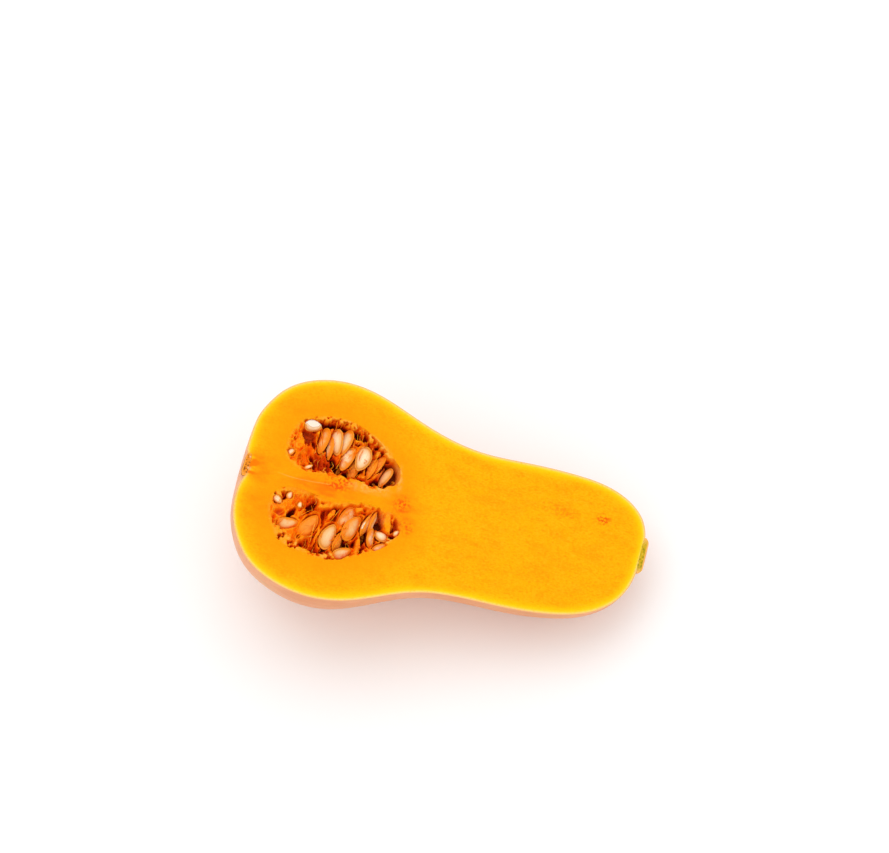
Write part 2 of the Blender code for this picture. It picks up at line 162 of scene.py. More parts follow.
def findPlace():
    # the tilt of the knife's plane is its normal's in the CAD half, and the CAD box gives the rest
    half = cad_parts["squash_half"].data
    sizes = np.zeros(len(half.polygons))
    half.polygons.foreach_get("area", sizes)
    widest = half.polygons[int(sizes.argmax())]
    normal, point = np.array(widest.normal), np.array(widest.center)
    return math.atan2(normal[0], normal[2]), float(normal @ point)


tilt, planeHeight = findPlace()
along = np.array((math.cos(tilt), 0, -math.sin(tilt)))
acrossCut = np.array((0, 1, 0))
upFromCut = np.array((math.sin(tilt), 0, math.cos(tilt)))


def faceEdges(steps):
    # matching points on the upper and lower edge of the cut, blossom to stem, on one closed curve
    loop = np.vstack([[(fruit["notch"], 0.0)], upperEdge, [(1.0, 0.0)], lowerEdge[::-1]])
    loop = closedCurve(loop * (fruit["length"], fruit["bulbHalfWidth"]), steps)
    half = len(loop) // 2
    return loop[: half + 1], np.vstack([loop[:1], loop[half:][::-1]])


def backRings(steps, segments):
    # rings of the skin: an arc from the upper edge round the back to the lower, its centre a little below
    # the cut, swollen into shallow ribs
    upper, lower = faceEdges(steps)
    centre, arm = (upper + lower) / 2, (upper - lower) / 2
    share = np.clip(centre[:, 0] / fruit["length"], 0, 1)
    toNeck = smoothStep(share, *fruit["neckFrom"])
    stretch = fruit["bulbStretch"] + (fruit["neckStretch"] - fruit["bulbStretch"]) * toNeck
    drop = fruit["bulbDrop"] + (fruit["neckDrop"] - fruit["bulbDrop"]) * toNeck
    start = np.arctan(drop * smoothStep(share, *fruit["dropFrom"]))[:, None]
    turn = -start + (math.pi + 2 * start) * np.linspace(0, 1, segments + 1)
    width = np.cos(turn) / np.cos(start)
    depth = np.tan(start) + np.sin(turn) / np.cos(start)
    rib = (fruit["ribAtBulb"] + (fruit["ribAtStem"] - fruit["ribAtBulb"]) * share**3)[:, None]
    swell = 1 + rib * depth * np.cos(fruit["ribs"] * turn)
    rings = np.zeros((*turn.shape, 3))
    rings[..., :2] = centre[:, None] + (width * swell)[..., None] * arm[:, None]
    rings[..., 2] = -(np.hypot(*arm.T) * stretch)[:, None] * depth * swell
    rings[:, [0, -1], 2] = 0
    return rings


skinRings = backRings(steps=8, segments=112)


def findOrigin():
    # the fruit's own origin in the row: on the knife's plane, with the box's low x and y as the CAD's
    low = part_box("squash_half")[0]
    turned = skinRings[..., 0] * along[0] + skinRings[..., 2] * upFromCut[0]
    x = low.x - turned.min() * mm
    y = low.y - skinRings[..., 1].min() * mm
    return np.array((x, y, (planeHeight - upFromCut[0] * x) / upFromCut[2]))


origin = findOrigin()


def toRow(points):
    # fruit frame in millimetres to the row in metres
    points = np.asarray(points) * mm
    return origin + points[..., :1] * along + points[..., 1:2] * acrossCut + points[..., 2:] * upFromCut


def pressFlat(points):
    # what would lie under the surface that the fruit rests on is moved up to it
    up = np.array((-math.sin(tilt), 0, math.cos(tilt)))
    height = (points @ up) * mm + origin[2]
    return points - np.minimum(height, 0)[..., None] / mm * up


def toLinear(hexColour):
    # sRGB hex to linear colour: straight near black, then the 2.4 power
    parts = np.array([int(hexColour[k : k + 2], 16) for k in (1, 3, 5)]) / 255
    parts = np.where(parts < 0.04045, parts / 12.92, ((parts + 0.055) / 1.055) ** 2.4)
    return (*parts.tolist(), 1.0)


def addNode(tree, kind, feeds=None, stops=None, **settings):
    # one node: its settings, its ramp's stops, and each input as a link, a colour or a number
    made = tree.nodes.new("ShaderNode" + kind)
    for name, value in settings.items():
        setattr(made, name, value)
    if stops:
        points = made.color_ramp.elements
        points[0].position, points[1].position = stops[0][0], stops[-1][0]
        for place, _ in stops[1:-1]:
            points.new(place)
        for point, (_, colour) in zip(points, stops):
            point.color = toLinear(colour) if isinstance(colour, str) else (colour, colour, colour, 1)
    for name, source in (feeds or {}).items():
        if isinstance(source, bpy.types.Node):
            source = source.outputs[2 if source.bl_idname == "ShaderNodeMix" else 0]
        if isinstance(source, bpy.types.NodeSocket):
            tree.links.new(source, made.inputs[name])
        else:
            made.inputs[name].default_value = toLinear(source) if isinstance(source, str) else source
    return made


def newMaterial(name):
    # an empty material, and what adds a node to it
    material = bpy.data.materials.new(name)
    material.use_nodes = True
    material.node_tree.nodes.clear()
    return material, functools.partial(addNode, material.node_tree)


def layOver(add, under, over, place, pattern, band, *by):
    # one colour over another: as the pattern goes from band[0] to band[1], the upper one's share goes from
    # band[2] to band[3], and by multiplies it; a pattern is what a node gives, or noise: its size in metres,
    # one for each axis where it is drawn out, and its detail
    if isinstance(pattern, tuple):
        size, detail = pattern
        if isinstance(size, tuple):
            place = add("Mapping", {"Vector": place, "Scale": tuple(1 / part for part in size)})
            size = 1
        pattern = add("TexNoise", {"Vector": place, "Scale": 1 / size, "Detail": detail})
    share = add("MapRange", dict(zip(range(5), (pattern, *band))))
    for factor in by:
        share = add("Math", {0: share, 1: factor}, operation="MULTIPLY")
    return add("Mix", {0: share, 6: under, 7: over}, data_type="RGBA")


def addRelief(add, place, *layers):
    # bumps of noise, one on the other: size in metres, detail, strength, depth in millimetres
    below = {}
    for size, detail, strength, depth in layers:
        noise = add("TexNoise", {"Vector": place, "Scale": 1 / size, "Detail": detail})
        bump = {"Height": noise, "Strength": strength, "Distance": depth * mm}
        below = {"Normal": add("Bump", {**bump, **below})}
    return below["Normal"]


def byDistance(add, source, stops):
    # a ramp whose stops stand at millimetres
    reach = stops[-1][0]
    share = add("MapRange", {0: source, 2: reach})
    return add("ValToRGB", {"Fac": share}, stops=[(at / reach, colour) for at, colour in stops])


def closeMaterial(add, feeds):
    # the surface, with what it is fed, and the output
    add("OutputMaterial", {"Surface": add("BsdfPrincipled", feeds)})


def addObject(name, data):
    made = bpy.data.objects.new(name, data)
    bpy.context.scene.collection.objects.link(made)
    return made


def makePiece(name, points, faces, materials, values=None, vectors=None, faceSlots=None, sharpAt=50):
    # points in the fruit frame, faces as lists of four or three, one value or vector for each point
    mesh = bpy.data.meshes.new(name)
    mesh.from_pydata(toRow(np.reshape(points, (-1, 3))).tolist(), [], faces)
    for material in materials:
        mesh.materials.append(material)
    for key, numbers in (values or {}).items():
        mesh.attributes.new(key, "FLOAT", "POINT").data.foreach_set("value", np.ravel(numbers))
    for key, spots in (vectors or {}).items():
        mesh.attributes.new(key, "FLOAT_VECTOR", "POINT").data.foreach_set("vector", np.ravel(spots))
    if faceSlots is not None:
        mesh.polygons.foreach_set("material_index", faceSlots)
    shape = bmesh.new()
    shape.from_mesh(mesh)
    bmesh.ops.remove_doubles(shape, verts=shape.verts, dist=0.002 * mm)
    bmesh.ops.recalc_face_normals(shape, faces=shape.faces)
    shape.to_mesh(mesh)
    shape.free()
    mesh.shade_smooth()
    mesh.set_sharp_from_angle(angle=math.radians(sharpAt))
    piece = addObject(name, mesh)
    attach(piece, "root")
    return piece


# camera at the photograph's angle: over the fruit, from its lower side and a little from the stem's side
view = dict(azimuth=8.89, elevation=67.76, away=1.92, lens=135, target=(-0.0089, 0.0635, 0.030))


def makeCamera():
    turn, rise = math.radians(view["azimuth"]), math.radians(view["elevation"])
    back = Vector((math.sin(turn) * math.cos(rise), -math.cos(turn) * math.cos(rise), math.sin(rise)))
    lens = bpy.data.cameras.new("camera")
    lens.lens = view["lens"]
    lens.clip_end = 20
    camera = addObject("camera", lens)
    camera.location = Vector(view["target"]) + back * view["away"]
    camera.rotation_euler = back.to_track_quat("Z", "Y").to_euler()
    bpy.context.scene.camera = camera


# soft studio light: a wide panel above and behind, a weak one in front, and a white room
studio = dict(
    room=0.92,
    panels=(
        dict(name="topPanel", at=(-0.25, 0.40, 1.35), size=(1.3, 1.0), power=4.6),
        dict(name="frontPanel", at=(0.20, -1.40, 0.80), size=(1.2, 0.8), power=0.8),
    ),
    floor="#ffffff",
    floorWidth=6,
)


def makeStudio():
    world = bpy.data.worlds.new("room")
    world.use_nodes = True
    sky = world.node_tree.nodes["Background"].inputs
    sky["Strength"].default_value = studio["room"]
    sky["Color"].default_value = (1, 1, 1, 1)
    bpy.context.scene.world = world
    for panel in studio["panels"]:
        light = bpy.data.lights.new(panel["name"], "AREA")
        light.shape = "RECTANGLE"
        light.size, light.size_y = panel["size"]
        light.energy = panel["power"]
        lamp = addObject(panel["name"], light)
        lamp.location = panel["at"]
        lamp.rotation_euler = Vector(panel["at"]).to_track_quat("Z", "Y").to_euler()
    bpy.context.scene.view_settings.view_transform = "Standard"
    material, add = newMaterial("matte white paper sweep")
    closeMaterial(add, {"Base Color": studio["floor"], "Roughness": 0.9})
    mesh = bpy.data.meshes.new("floor")
    half = studio["floorWidth"] / 2
    corners = [(-half, -half, 0), (half, -half, 0), (half, half, 0), (-half, half, 0)]
    mesh.from_pydata(corners, [], [(0, 1, 2, 3)])
    mesh.materials.append(material)
    floor = addObject("floor", mesh)


makeCamera()
makeStudio()
print("camera and studio ready")

# colours of the cut flesh, from the skin inwards, and of the pulp, from the cut down
fleshLook = dict(
    fromSkin=(  # millimetres from the skin
        (0.0, "#eeb074"), (0.4, "#f6c984"), (0.9, "#fbd76c"), (1.5, "#fbd42a"), (2.5, "#fbcc06"),
        (3.7, "#fbc203"), (5.0, "#fbb802"), (7.0, "#fbb101"), (10.0, "#fbaf00"),
    ),
    pastSkin=30.0,  # as far from the skin, or a chamber, as no longer shows
    pastChamber=60.0,
    clouds="#fba000",
    fullCells="#fdbc1c",
    emptyCells="#f98e00",
    seam="#ffbe58",
    byChamber="#fb9700",
    byChamberReach=24,
    warm="#fb7c02",
    paler="#ffb452",
    crumbs="#f05a04",
    # sunk: the pulp turns redder, its own colour, and darker down to near black, which is painted shade in
    # the pits and hollows
    sunk=(  # millimetres below the cut
        (0.0, "#ff9404"), (1.2, "#ff8c04"), (3.0, "#fc7803"), (4.8, "#e65002"), (6.6, "#b02400"),
        (9.0, "#6c0a00"), (12.5, "#330300"),
    ),
    pale="#ffac2c",  # dry edges of torn pulp
    red="#ee5202",  # wet, dense pulp
    hollow="#f49436",  # bare wall of a chamber
)


def makeFlesh():
    # raw squash flesh, cut with a knife: dense moist cells give a soft satin face with fine grain, and
    # light goes a few millimetres in; the torn pulp is the same tissue, redder as it sinks and darkened
    # with depth by painted shade
    material, add = newMaterial("raw squash flesh and torn pulp")
    place = add("TexCoord").outputs["Object"]
    fromSkin, fromChamber, sunk, bare, seam, warm, paler, crumbs = (
        add("Attribute", attribute_name=name).outputs["Fac"]
        for name in ("fromSkin", "fromChamber", "sunk", "bare", "seam", "warm", "paler", "crumbs")
    )
    colour = byDistance(add, fromSkin, fleshLook["fromSkin"])
    deepIn = add("MapRange", {0: fromSkin, 1: 1.5, 2: 7.0})

    near = add(
        "MapRange", {0: fromChamber, 1: 0.0, 2: fleshLook["byChamberReach"], 3: 0.80, 4: 0.0},
        interpolation_type="SMOOTHSTEP",
    )
    for name, pattern, band, by in (
        # broad clouds, drawn out along the fruit
        ("clouds", ((0.016, 0.008, 0.008), 4.0), (0.46, 0.66, 0.0, 0.75), (deepIn,)),
        # grain: cells fuller or emptier of colour
        ("fullCells", ((0.0016, 0.0008, 0.0008), 3.0), (0.50, 0.70, 0.0, 0.60), ()),
        ("emptyCells", ((0.0016, 0.0008, 0.0008), 3.0), (0.47, 0.30, 0.0, 0.70), (deepIn,)),
        # deeper orange towards the chambers, orange-red fibres where their walls meet, and a pale seam
        ("byChamber", near, (0.0, 1.0, 0.0, 1.0), ()),
        ("warm", ((0.009, 0.0032, 0.004), 5.0), (0.36, 0.64, 0.25, 1.0), (warm,)),
        ("seam", seam, (0.0, 1.0, 0.0, 0.42), ()),
        # dry pale tissue by the rims, and torn crumbs
        ("paler", (0.0026, 4.0), (0.40, 0.58, 0.22, 1.0), (paler,)),
        ("crumbs", (0.0015, 3.0), (0.46, 0.57, 0.0, 0.95), (crumbs,)),
    ):
        colour = layOver(add, colour, fleshLook[name], place, pattern, band, *by)

    # the pulp's colours by how far it sinks: redder deeper down, and darker down to near black as painted
    # shade in the pits, with red wet patches and pale dry edges
    pulp = byDistance(add, sunk, fleshLook["sunk"])
    shallow = add("MapRange", {0: sunk, 1: 3.0, 2: 7.0, 3: 1.0, 4: 0.0})
    pulp = layOver(add, pulp, fleshLook["red"], place, (0.0034, 5.0), (0.48, 0.64, 0.0, 0.60), shallow)
    tufts = add("TexNoise", {"Vector": place, "Scale": 1 / 0.0018, "Detail": 3.0})
    pale = add("MapRange", {0: tufts, 1: 0.50, 2: 0.66, 3: 0.0, 4: 0.60})
    pale = add("Math", {0: pale, 1: paler}, operation="ADD")
    shallow = add("MapRange", {0: sunk, 1: 0.6, 2: 3.6, 3: 0.9, 4: 0.0})
    pale = add("Math", {0: pale, 1: shallow}, operation="MULTIPLY", use_clamp=True)
    pulp = add("Mix", {0: pale, 6: pulp, 7: fleshLook["pale"]}, data_type="RGBA")
    # a bare wall is smooth and tan near the cut, and further down the painted shade by depth darkens it like
    # the rest
    pulp = layOver(add, pulp, fleshLook["hollow"], place, sunk, (3.5, 8.0, 1.0, 0.10), bare)
    torn = add("MapRange", {0: sunk, 1: 0.10, 2: 0.9, 3: 0.0, 4: 1.0})
    colour = add("Mix", {0: torn, 6: colour, 7: pulp}, data_type="RGBA")

    closeMaterial(add, {
        "Base Color": colour, "Roughness": add("MapRange", {0: torn, 3: 0.50, 4: 0.32}), "IOR": 1.40,
        "Specular IOR Level": 0.05, "Subsurface Weight": 0.20, "Subsurface Radius": (1.0, 0.38, 0.03),
        "Subsurface Scale": 2.0 * mm,
        # grain of the knife's cut over a gentler one
        "Normal": addRelief(add, place, (0.003, 2.0, 0.35, 0.25), (0.0005, 3.0, 0.30, 0.06)),
    })
    return material


skinLook = dict(light="#efa169", dark="#df8d56", streak="#f4af7c", green="#cf9a5c", speck="#c08252")


def makeSkin():
    # ripe butternut skin: thin, hard and waxy, so a satin gloss over a peach tan, paler in long streaks,
    # with fine corky specks
    material, add = newMaterial("ripe butternut skin")
    place = add("TexCoord").outputs["Object"]
    lengthwise = add("Mapping", {"Vector": place, "Rotation": (0, -tilt, 0)}, vector_type="POINT")
    colour = skinLook["light"]
    for name, where, pattern, band in (
        ("dark", place, (0.038, 3.0), (0.30, 0.72, 0.0, 1.0)),
        # pale streaks run with the fruit, and fainter olive ones
        ("streak", lengthwise, ((0.090, 0.005, 0.005), 2.0), (0.42, 0.82, 0.0, 0.60)),
        ("green", lengthwise, ((0.140, 0.009, 0.009), 1.0), (0.56, 0.80, 0.0, 0.40)),
        ("speck", place, (0.0011, 2.0), (0.60, 0.78, 0.0, 0.45)),
    ):
        colour = layOver(add, colour, skinLook[name], where, pattern, band)
    closeMaterial(add, {
        "Base Color": colour, "Roughness": 0.42, "IOR": 1.45, "Subsurface Weight": 0.06,
        "Subsurface Radius": (1.0, 0.45, 0.2), "Subsurface Scale": 1.5 * mm,
        # pores over broad waves
        "Normal": addRelief(add, place, (0.010, 2.0, 0.30, 0.6), (0.0008, 2.0, 0.25, 0.05)),
    })
    return material


flesh = makeFlesh()
skin = makeSkin()

# The two chambers, in millimetres and degrees. rim: x, y round the chamber on the cut. porous: x, y, reach
# and how pale. pits: x, y, length, width, heading, depth and how ragged the edge is. bare, for smooth
# walls: x, y, half length, half width, how bare. strands: from, to and radius. plates: x, y, length,
# width, heading and height. seeds: x, y, z of the middle, heading of the point, roll, length, width, how
# much pulp clings to it and how pale it is.
upperChamber = dict(
    node="pulp_seeds_upper",
    rim=(
        (86, 12), (80, 22), (67, 33), (52, 39), (37, 38), (26, 33), (21, 22), (21, 12), (28, 6),
        (46, 5.5), (64, 5), (79, 4.5),
    ),
    shallow=1.6, deep=7.0, sinks=(26, 44), lean=-0.15, draw=11,
    porous=((69, 28, 15, 1.0), (52, 37.5, 10, 0.5), (40, 38.5, 7, 0.2)),
    pits=(
        (38.6, 34.7, 6.4, 3.4, 14, 8, 0.9), (44.8, 35.4, 7.4, 3.8, 6, 10, 0.9),
        (51.2, 35.0, 6.2, 3.2, 2, 9, 0.9), (57.9, 33.6, 5.6, 3.9, -14, 9, 0.9),
        (63.6, 31.8, 6.2, 2.6, 98, 8, 0.9), (70.9, 28.6, 2.8, 2.4, 10, 5, 1.0),
        (74.6, 25.8, 3.4, 2.4, -40, 5, 1.0), (77.2, 21.8, 4.4, 2.4, 0, 6, 1.0),
        (81.2, 15.0, 12.5, 7.6, 104, 9, 0.15), (74.0, 8.4, 7.0, 3.2, 18, 10, 0.6),
        (77.6, 7.8, 5.4, 3.6, 14, 11, 0.4), (51.5, 11.4, 5.8, 5.2, 100, 10, 0.8),
        (56.0, 9.2, 5.0, 3.2, 14, 10, 0.8), (31.4, 22.1, 3.9, 3.7, 0, 6, 0.7),
        (35.6, 22.3, 6.0, 2.6, 102, 8, 0.8), (31.8, 26.6, 9.0, 7.0, -20, 7, 0.6),
        (24.5, 10.6, 2.6, 1.8, 14, 3, 1.0), (36.8, 11.2, 8.6, 2.8, 116, 8, 0.6),
        (48.4, 13.0, 8.0, 3.6, 112, 11, 0.8), (42.0, 10.2, 5.1, 2.2, 135, 6, 0.9),
        (68.2, 10.4, 3.2, 1.6, 60, 6, 1.0),
    ),
    bare=((82.0, 14.0, 9.0, 7.5, 0.85), (31.4, 26.6, 4.4, 3.6, 0.3)),
    strands=(
        ((58.4, 33.6, -0.6), (59.2, 27.6, -2.2), 0.16), ((60.2, 33.2, -0.5), (61.0, 28.0, -2.0), 0.13),
        ((61.6, 33.0, -0.6), (62.0, 27.4, -2.4), 0.18), ((37.6, 31.0, -1.2), (41.0, 20.6, -2.6), 0.34),
        ((35.8, 27.6, -1.6), (38.6, 17.4, -2.4), 0.24), ((47.6, 33.6, -1.0), (47.0, 28.6, -2.8), 0.15),
        ((68.4, 27.2, -0.9), (64.6, 15.6, -2.4), 0.30), ((72.6, 25.6, -0.9), (68.6, 12.4, -2.0), 0.26),
        ((76.4, 22.4, -0.9), (71.6, 9.8, -1.6), 0.22), ((52.2, 16.8, -3.0), (49.8, 9.4, -0.9), 0.22),
    ),
    plates=(
        (60.5, 28.9, 8.0, 1.6, 4, -0.9), (60.0, 23.0, 13.0, 2.0, 62, -1.8),
        (70.2, 20.5, 14.0, 1.7, 62, -1.2), (75.0, 20.8, 9.0, 1.6, 58, -1.2),
        (67.0, 13.0, 11.0, 2.0, 66, -1.5), (72.6, 12.0, 9.0, 1.6, 62, -1.2),
        (36.8, 28.5, 10.0, 2.2, 100, -1.0), (51.0, 18.5, 9.0, 1.8, 96, -2.4),
        (27.0, 20.0, 7.0, 6.0, 60, -0.8), (63.0, 8.8, 12.0, 2.4, 8, -1.2),
    ),
    seeds=(
        (32.9, 32.0, -0.9, 4, 40, 9.8, 7.4, 0.0, 1.0),
        (40.4, 25.7, -4.2, 266, 50, 16.5, 8.0, 0.50, 0.3),
        (44.9, 22.5, -4.8, 272, 76, 14.5, 8.0, 0.35, 0.45),
        (48.2, 26.6, -4.0, 281, 36, 16.0, 8.2, 0.10, 0.8),
        (53.2, 27.6, -4.2, 263, 44, 16.5, 8.0, 0.25, 0.6),
        (55.6, 18.2, -4.4, 250, 24, 16.0, 7.6, 0.32, 0.85),
        (63.9, 19.8, -2.7, 257, 10, 16.0, 9.0, -0.2, 1.0),
        (60.4, 13.2, -6.6, 262, 40, 13.0, 7.5, 0.75, 0.4),
        (78.8, 12.6, -5.2, 250, 50, 13.5, 7.0, 0.20, 0.30),
        (69.9, 15.6, -4.8, 255, 62, 14.5, 7.5, 0.90, 0.4),
        (73.6, 18.6, -5.2, 250, 56, 14.5, 7.5, 0.90, 0.4),
        (23.4, 14.2, -1.5, 254, 28, 4.2, 3.8, 0.12, 0.9),
        (34.5, 7.6, -1.2, 38, 10, 5.4, 2.0, 0.30, 0.8),
    ),
)
lowerChamber = dict(
    node="pulp_seeds_lower",
    rim=(
        (91, -17), (86, -26), (75, -34), (63, -40.5), (50, -43.5), (38, -42), (27, -39),
        (19, -29), (17, -16), (22, -9.5), (38, -8.5), (52, -11), (64, -8.5), (78, -8.5),
        (87, -11),
    ),
    shallow=1.4, deep=6.2, sinks=(26, 46), lean=-0.12, draw=23,
    porous=((30, -36, 12, 0.5), (56, -42, 10, 0.5), (21, -12, 6, 0.2), (86, -26, 7, 0.8)),
    pits=(
        (23.6, -11.8, 4.6, 2.8, 98, 5, 0.9), (29.9, -20.4, 8.0, 3.6, 58, 9, 0.8),
        (40.0, -14.4, 8.2, 3.2, 50, 9, 0.8), (23.4, -22.0, 4.6, 4.0, 14, 5, 0.3),
        (47.4, -18.6, 4.2, 2.8, 95, 7, 0.9), (49.9, -39.6, 5.1, 2.9, 102, 7, 1.0),
        (61.6, -32.8, 7.6, 5.6, 14, 11, 0.8), (72.0, -25.8, 8.2, 3.6, 82, 11, 0.8),
        (78.6, -16.8, 6.0, 5.0, 40, 10, 0.8), (77.9, -11.4, 6.2, 2.6, 100, 7, 0.5),
        (87.4, -22.6, 4.4, 3.2, 30, 8, 0.8), (89.0, -15.2, 8.0, 2.4, 106, 6, 0.7),
        (71.2, -34.4, 4.2, 2.6, 100, 7, 1.0), (26.4, -36.4, 3.0, 1.6, 14, 3, 1.0),
        (20.6, -28.6, 2.6, 1.6, 100, 3, 1.0), (64.1, -9.6, 2.2, 1.9, 0, 4, 1.0),
        (44.2, -38.4, 2.6, 2.4, 0, 5, 1.0), (36.0, -33.8, 3.0, 2.0, 60, 4, 1.0),
    ),
    bare=((79.0, -14.0, 4.6, 4.6, 0.6), (89.2, -16.0, 2.6, 6.0, 0.2), (23.4, -22.0, 2.4, 2.2, 0.3)),
    strands=(
        ((41.4, -16.6, -1.2), (33.4, -22.6, -1.8), 0.26), ((44.2, -22.4, -1.4), (42.6, -36.6, -1.4), 0.34),
        ((38.8, -29.6, -1.6), (33.6, -38.0, -1.0), 0.30), ((56.4, -12.8, -0.9), (51.8, -21.6, -2.2), 0.30),
        ((59.2, -24.0, -2.0), (56.8, -37.4, -1.4), 0.36), ((68.6, -25.0, -2.2), (70.8, -36.4, -1.0), 0.34),
        ((75.0, -9.6, -0.8), (72.0, -17.4, -1.6), 0.22), ((64.6, -10.2, -0.7), (57.8, -17.4, -2.2), 0.24),
        ((78.4, -20.6, -2.2), (77.0, -31.2, -1.2), 0.28), ((28.4, -16.8, -1.0), (22.8, -24.4, -1.4), 0.22),
    ),
    plates=(
        (84.0, -15.5, 15.0, 5.6, 101, -0.30), (58.4, -26.0, 18.0, 2.4, 76, -1.6),
        (69.8, -31.5, 13.0, 3.6, 82, -1.1), (45.9, -30.0, 15.0, 2.0, 78, -1.3),
        (36.5, -33.5, 10.0, 5.0, 60, -1.0), (48.0, -13.0, 11.0, 4.0, 20, -0.6),
        (64.0, -10.8, 14.0, 3.0, 0, -0.6), (52.0, -17.0, 9.0, 3.0, 70, -1.0),
        (79.0, -31.5, 9.0, 2.4, 40, -0.8), (34.8, -20.0, 8.0, 2.4, 58, -0.9),
    ),
    seeds=(
        (28.6, -27.2, -2.8, 20, 26, 12.0, 6.6, 0.28, 0.3),
        (40.8, -25.7, -4.0, 64, 15, 16.0, 8.4, 1.0, 0.4),
        (52.4, -29.9, -2.9, 75, 18, 16.5, 8.6, 0.14, 0.45),
        (61.1, -15.9, -4.6, 73, 5, 15.0, 8.4, 0.36, 0.45),
        (64.6, -21.8, -3.4, 66, 25, 17.0, 8.8, 0.40, 0.2),
        (72.3, -18.0, -3.8, 73, 72, 15.0, 8.0, 0.38, 0.4),
        (75.6, -15.5, -4.4, 76, 80, 14.0, 7.5, 0.35, 0.45),
        (76.3, -24.8, -4.2, 88, 40, 12.0, 6.0, 0.40, 0.7),
        (81.6, -22.8, -3.6, 150, 20, 8.0, 6.6, 0.0, 0.95),
        (61.4, -37.6, -3.2, 30, 36, 11.5, 6.6, 0.30, 0.5),
        (89.6, -19.8, -1.4, 53, 20, 4.4, 2.6, 0.15, 0.8),
        (81.6, -30.0, -2.2, 30, 50, 9.0, 4.5, 0.30, 0.8),
        (20.8, -15.2, -1.6, 330, 30, 6.2, 4.0, 0.12, 0.9),
        (27.0, -11.4, -1.4, 74, 24, 5.0, 3.4, 0.2, 0.9),
        (33.6, -15.6, -1.4, 92, 10, 4.0, 2.8, 0.3, 0.8),
        (58.6, -30.8, -5.6, 75, 60, 14.0, 8.0, 0.85, 0.4),
    ),
)
chambers = dict(upper=upperChamber, lower=lowerChamber)
chamberShape = dict(
    grow=2.0,  # the pulp piece reaches this far past the rim, flush with the cut
    depth=24,
    floorClear=1.6,  # its floor stays this far below the deepest pulp, and the flesh's bowl a little further
    bowlClear=2,
    around=34,  # points to a stretch of the rim
    rings=132,
    floorRings=14,
    bowlRings=15,
    ragged=((1.1, 2.6), (0.8, 1.2)),  # how far the rim wanders, over what size, coarse and fine
    wall=(-0.5, 3.2),  # how far inside the rim the pulp starts to go down, and stops
    crumble=2.5,  # how much further in where the rim is crumbly
    pores=4.5,  # how deep they go
    ridgeSpacing=6.6,
    ridge=1.2,
    # torn forms: height, how far they are drawn out across, size, where between crest and foot they
    # stand on the bed, and draw
    sheets=(3.4, 0.4, 2.4, 0.55, 10),
    lumps=(1.5, 0.6, 1.5, 0.6, 4),
    flakes=(3.3, 0.7, 2.0, 0.62, 13),
    fibre=0.30,
    seedHalf=1.5,  # half a seed's thickness
    hug=(1.13, 0.16),  # where the pulp stands highest round a seed, its edge being 1, and how widely
    highest=-0.35,  # and how high at most
    nest=(0.84, 1.03),  # where the pulp goes down under a seed
)


def grownRim(chamber, grow):
    edge = closedCurve(chamber["rim"], chamberShape["around"])
    centre = edge.mean(axis=0)
    reach = edge - centre
    return centre, reach * (1 + grow / np.linalg.norm(reach, axis=1))[:, None]


def turnedTo(x, y, centreX, centreY, heading):
    # along and across a direction, from a centre
    angle = math.radians(heading)
    awayX, awayY = x - centreX, y - centreY
    return (
        awayX * math.cos(angle) + awayY * math.sin(angle),
        awayY * math.cos(angle) - awayX * math.sin(angle),
    )


def crest(x, y, size, draw):
    # sharp-topped noise, 1 on thin wandering crests and falling to 0 between them
    return 1 - np.abs(grain(x, y, size, draw))


def ovalReach(x, y, centreX, centreY, length, width, heading, shift=0.0):
    # 0 in the middle of an ellipse, 1 on its edge
    goes, aside = turnedTo(x, y, centreX, centreY, heading)
    return np.hypot(goes / (length / 2), (aside + shift) / (width / 2))


def seedHalves(width, roll):
    # half of what a rolled seed measures across, seen from above and seen from the side
    lies, stands = abs(math.cos(math.radians(roll))), abs(math.sin(math.radians(roll)))
    thick = chamberShape["seedHalf"]
    return width / 2 * lies + thick * stands, width / 2 * stands + thick * lies


def softPatch(x, y, patch):
    # 1 in the middle of an ellipse, easing to 0 at its edge
    return patch[-1] * (1 - smoothStep(ovalReach(x, y, *patch[:-1]), 0.25, 1.0))


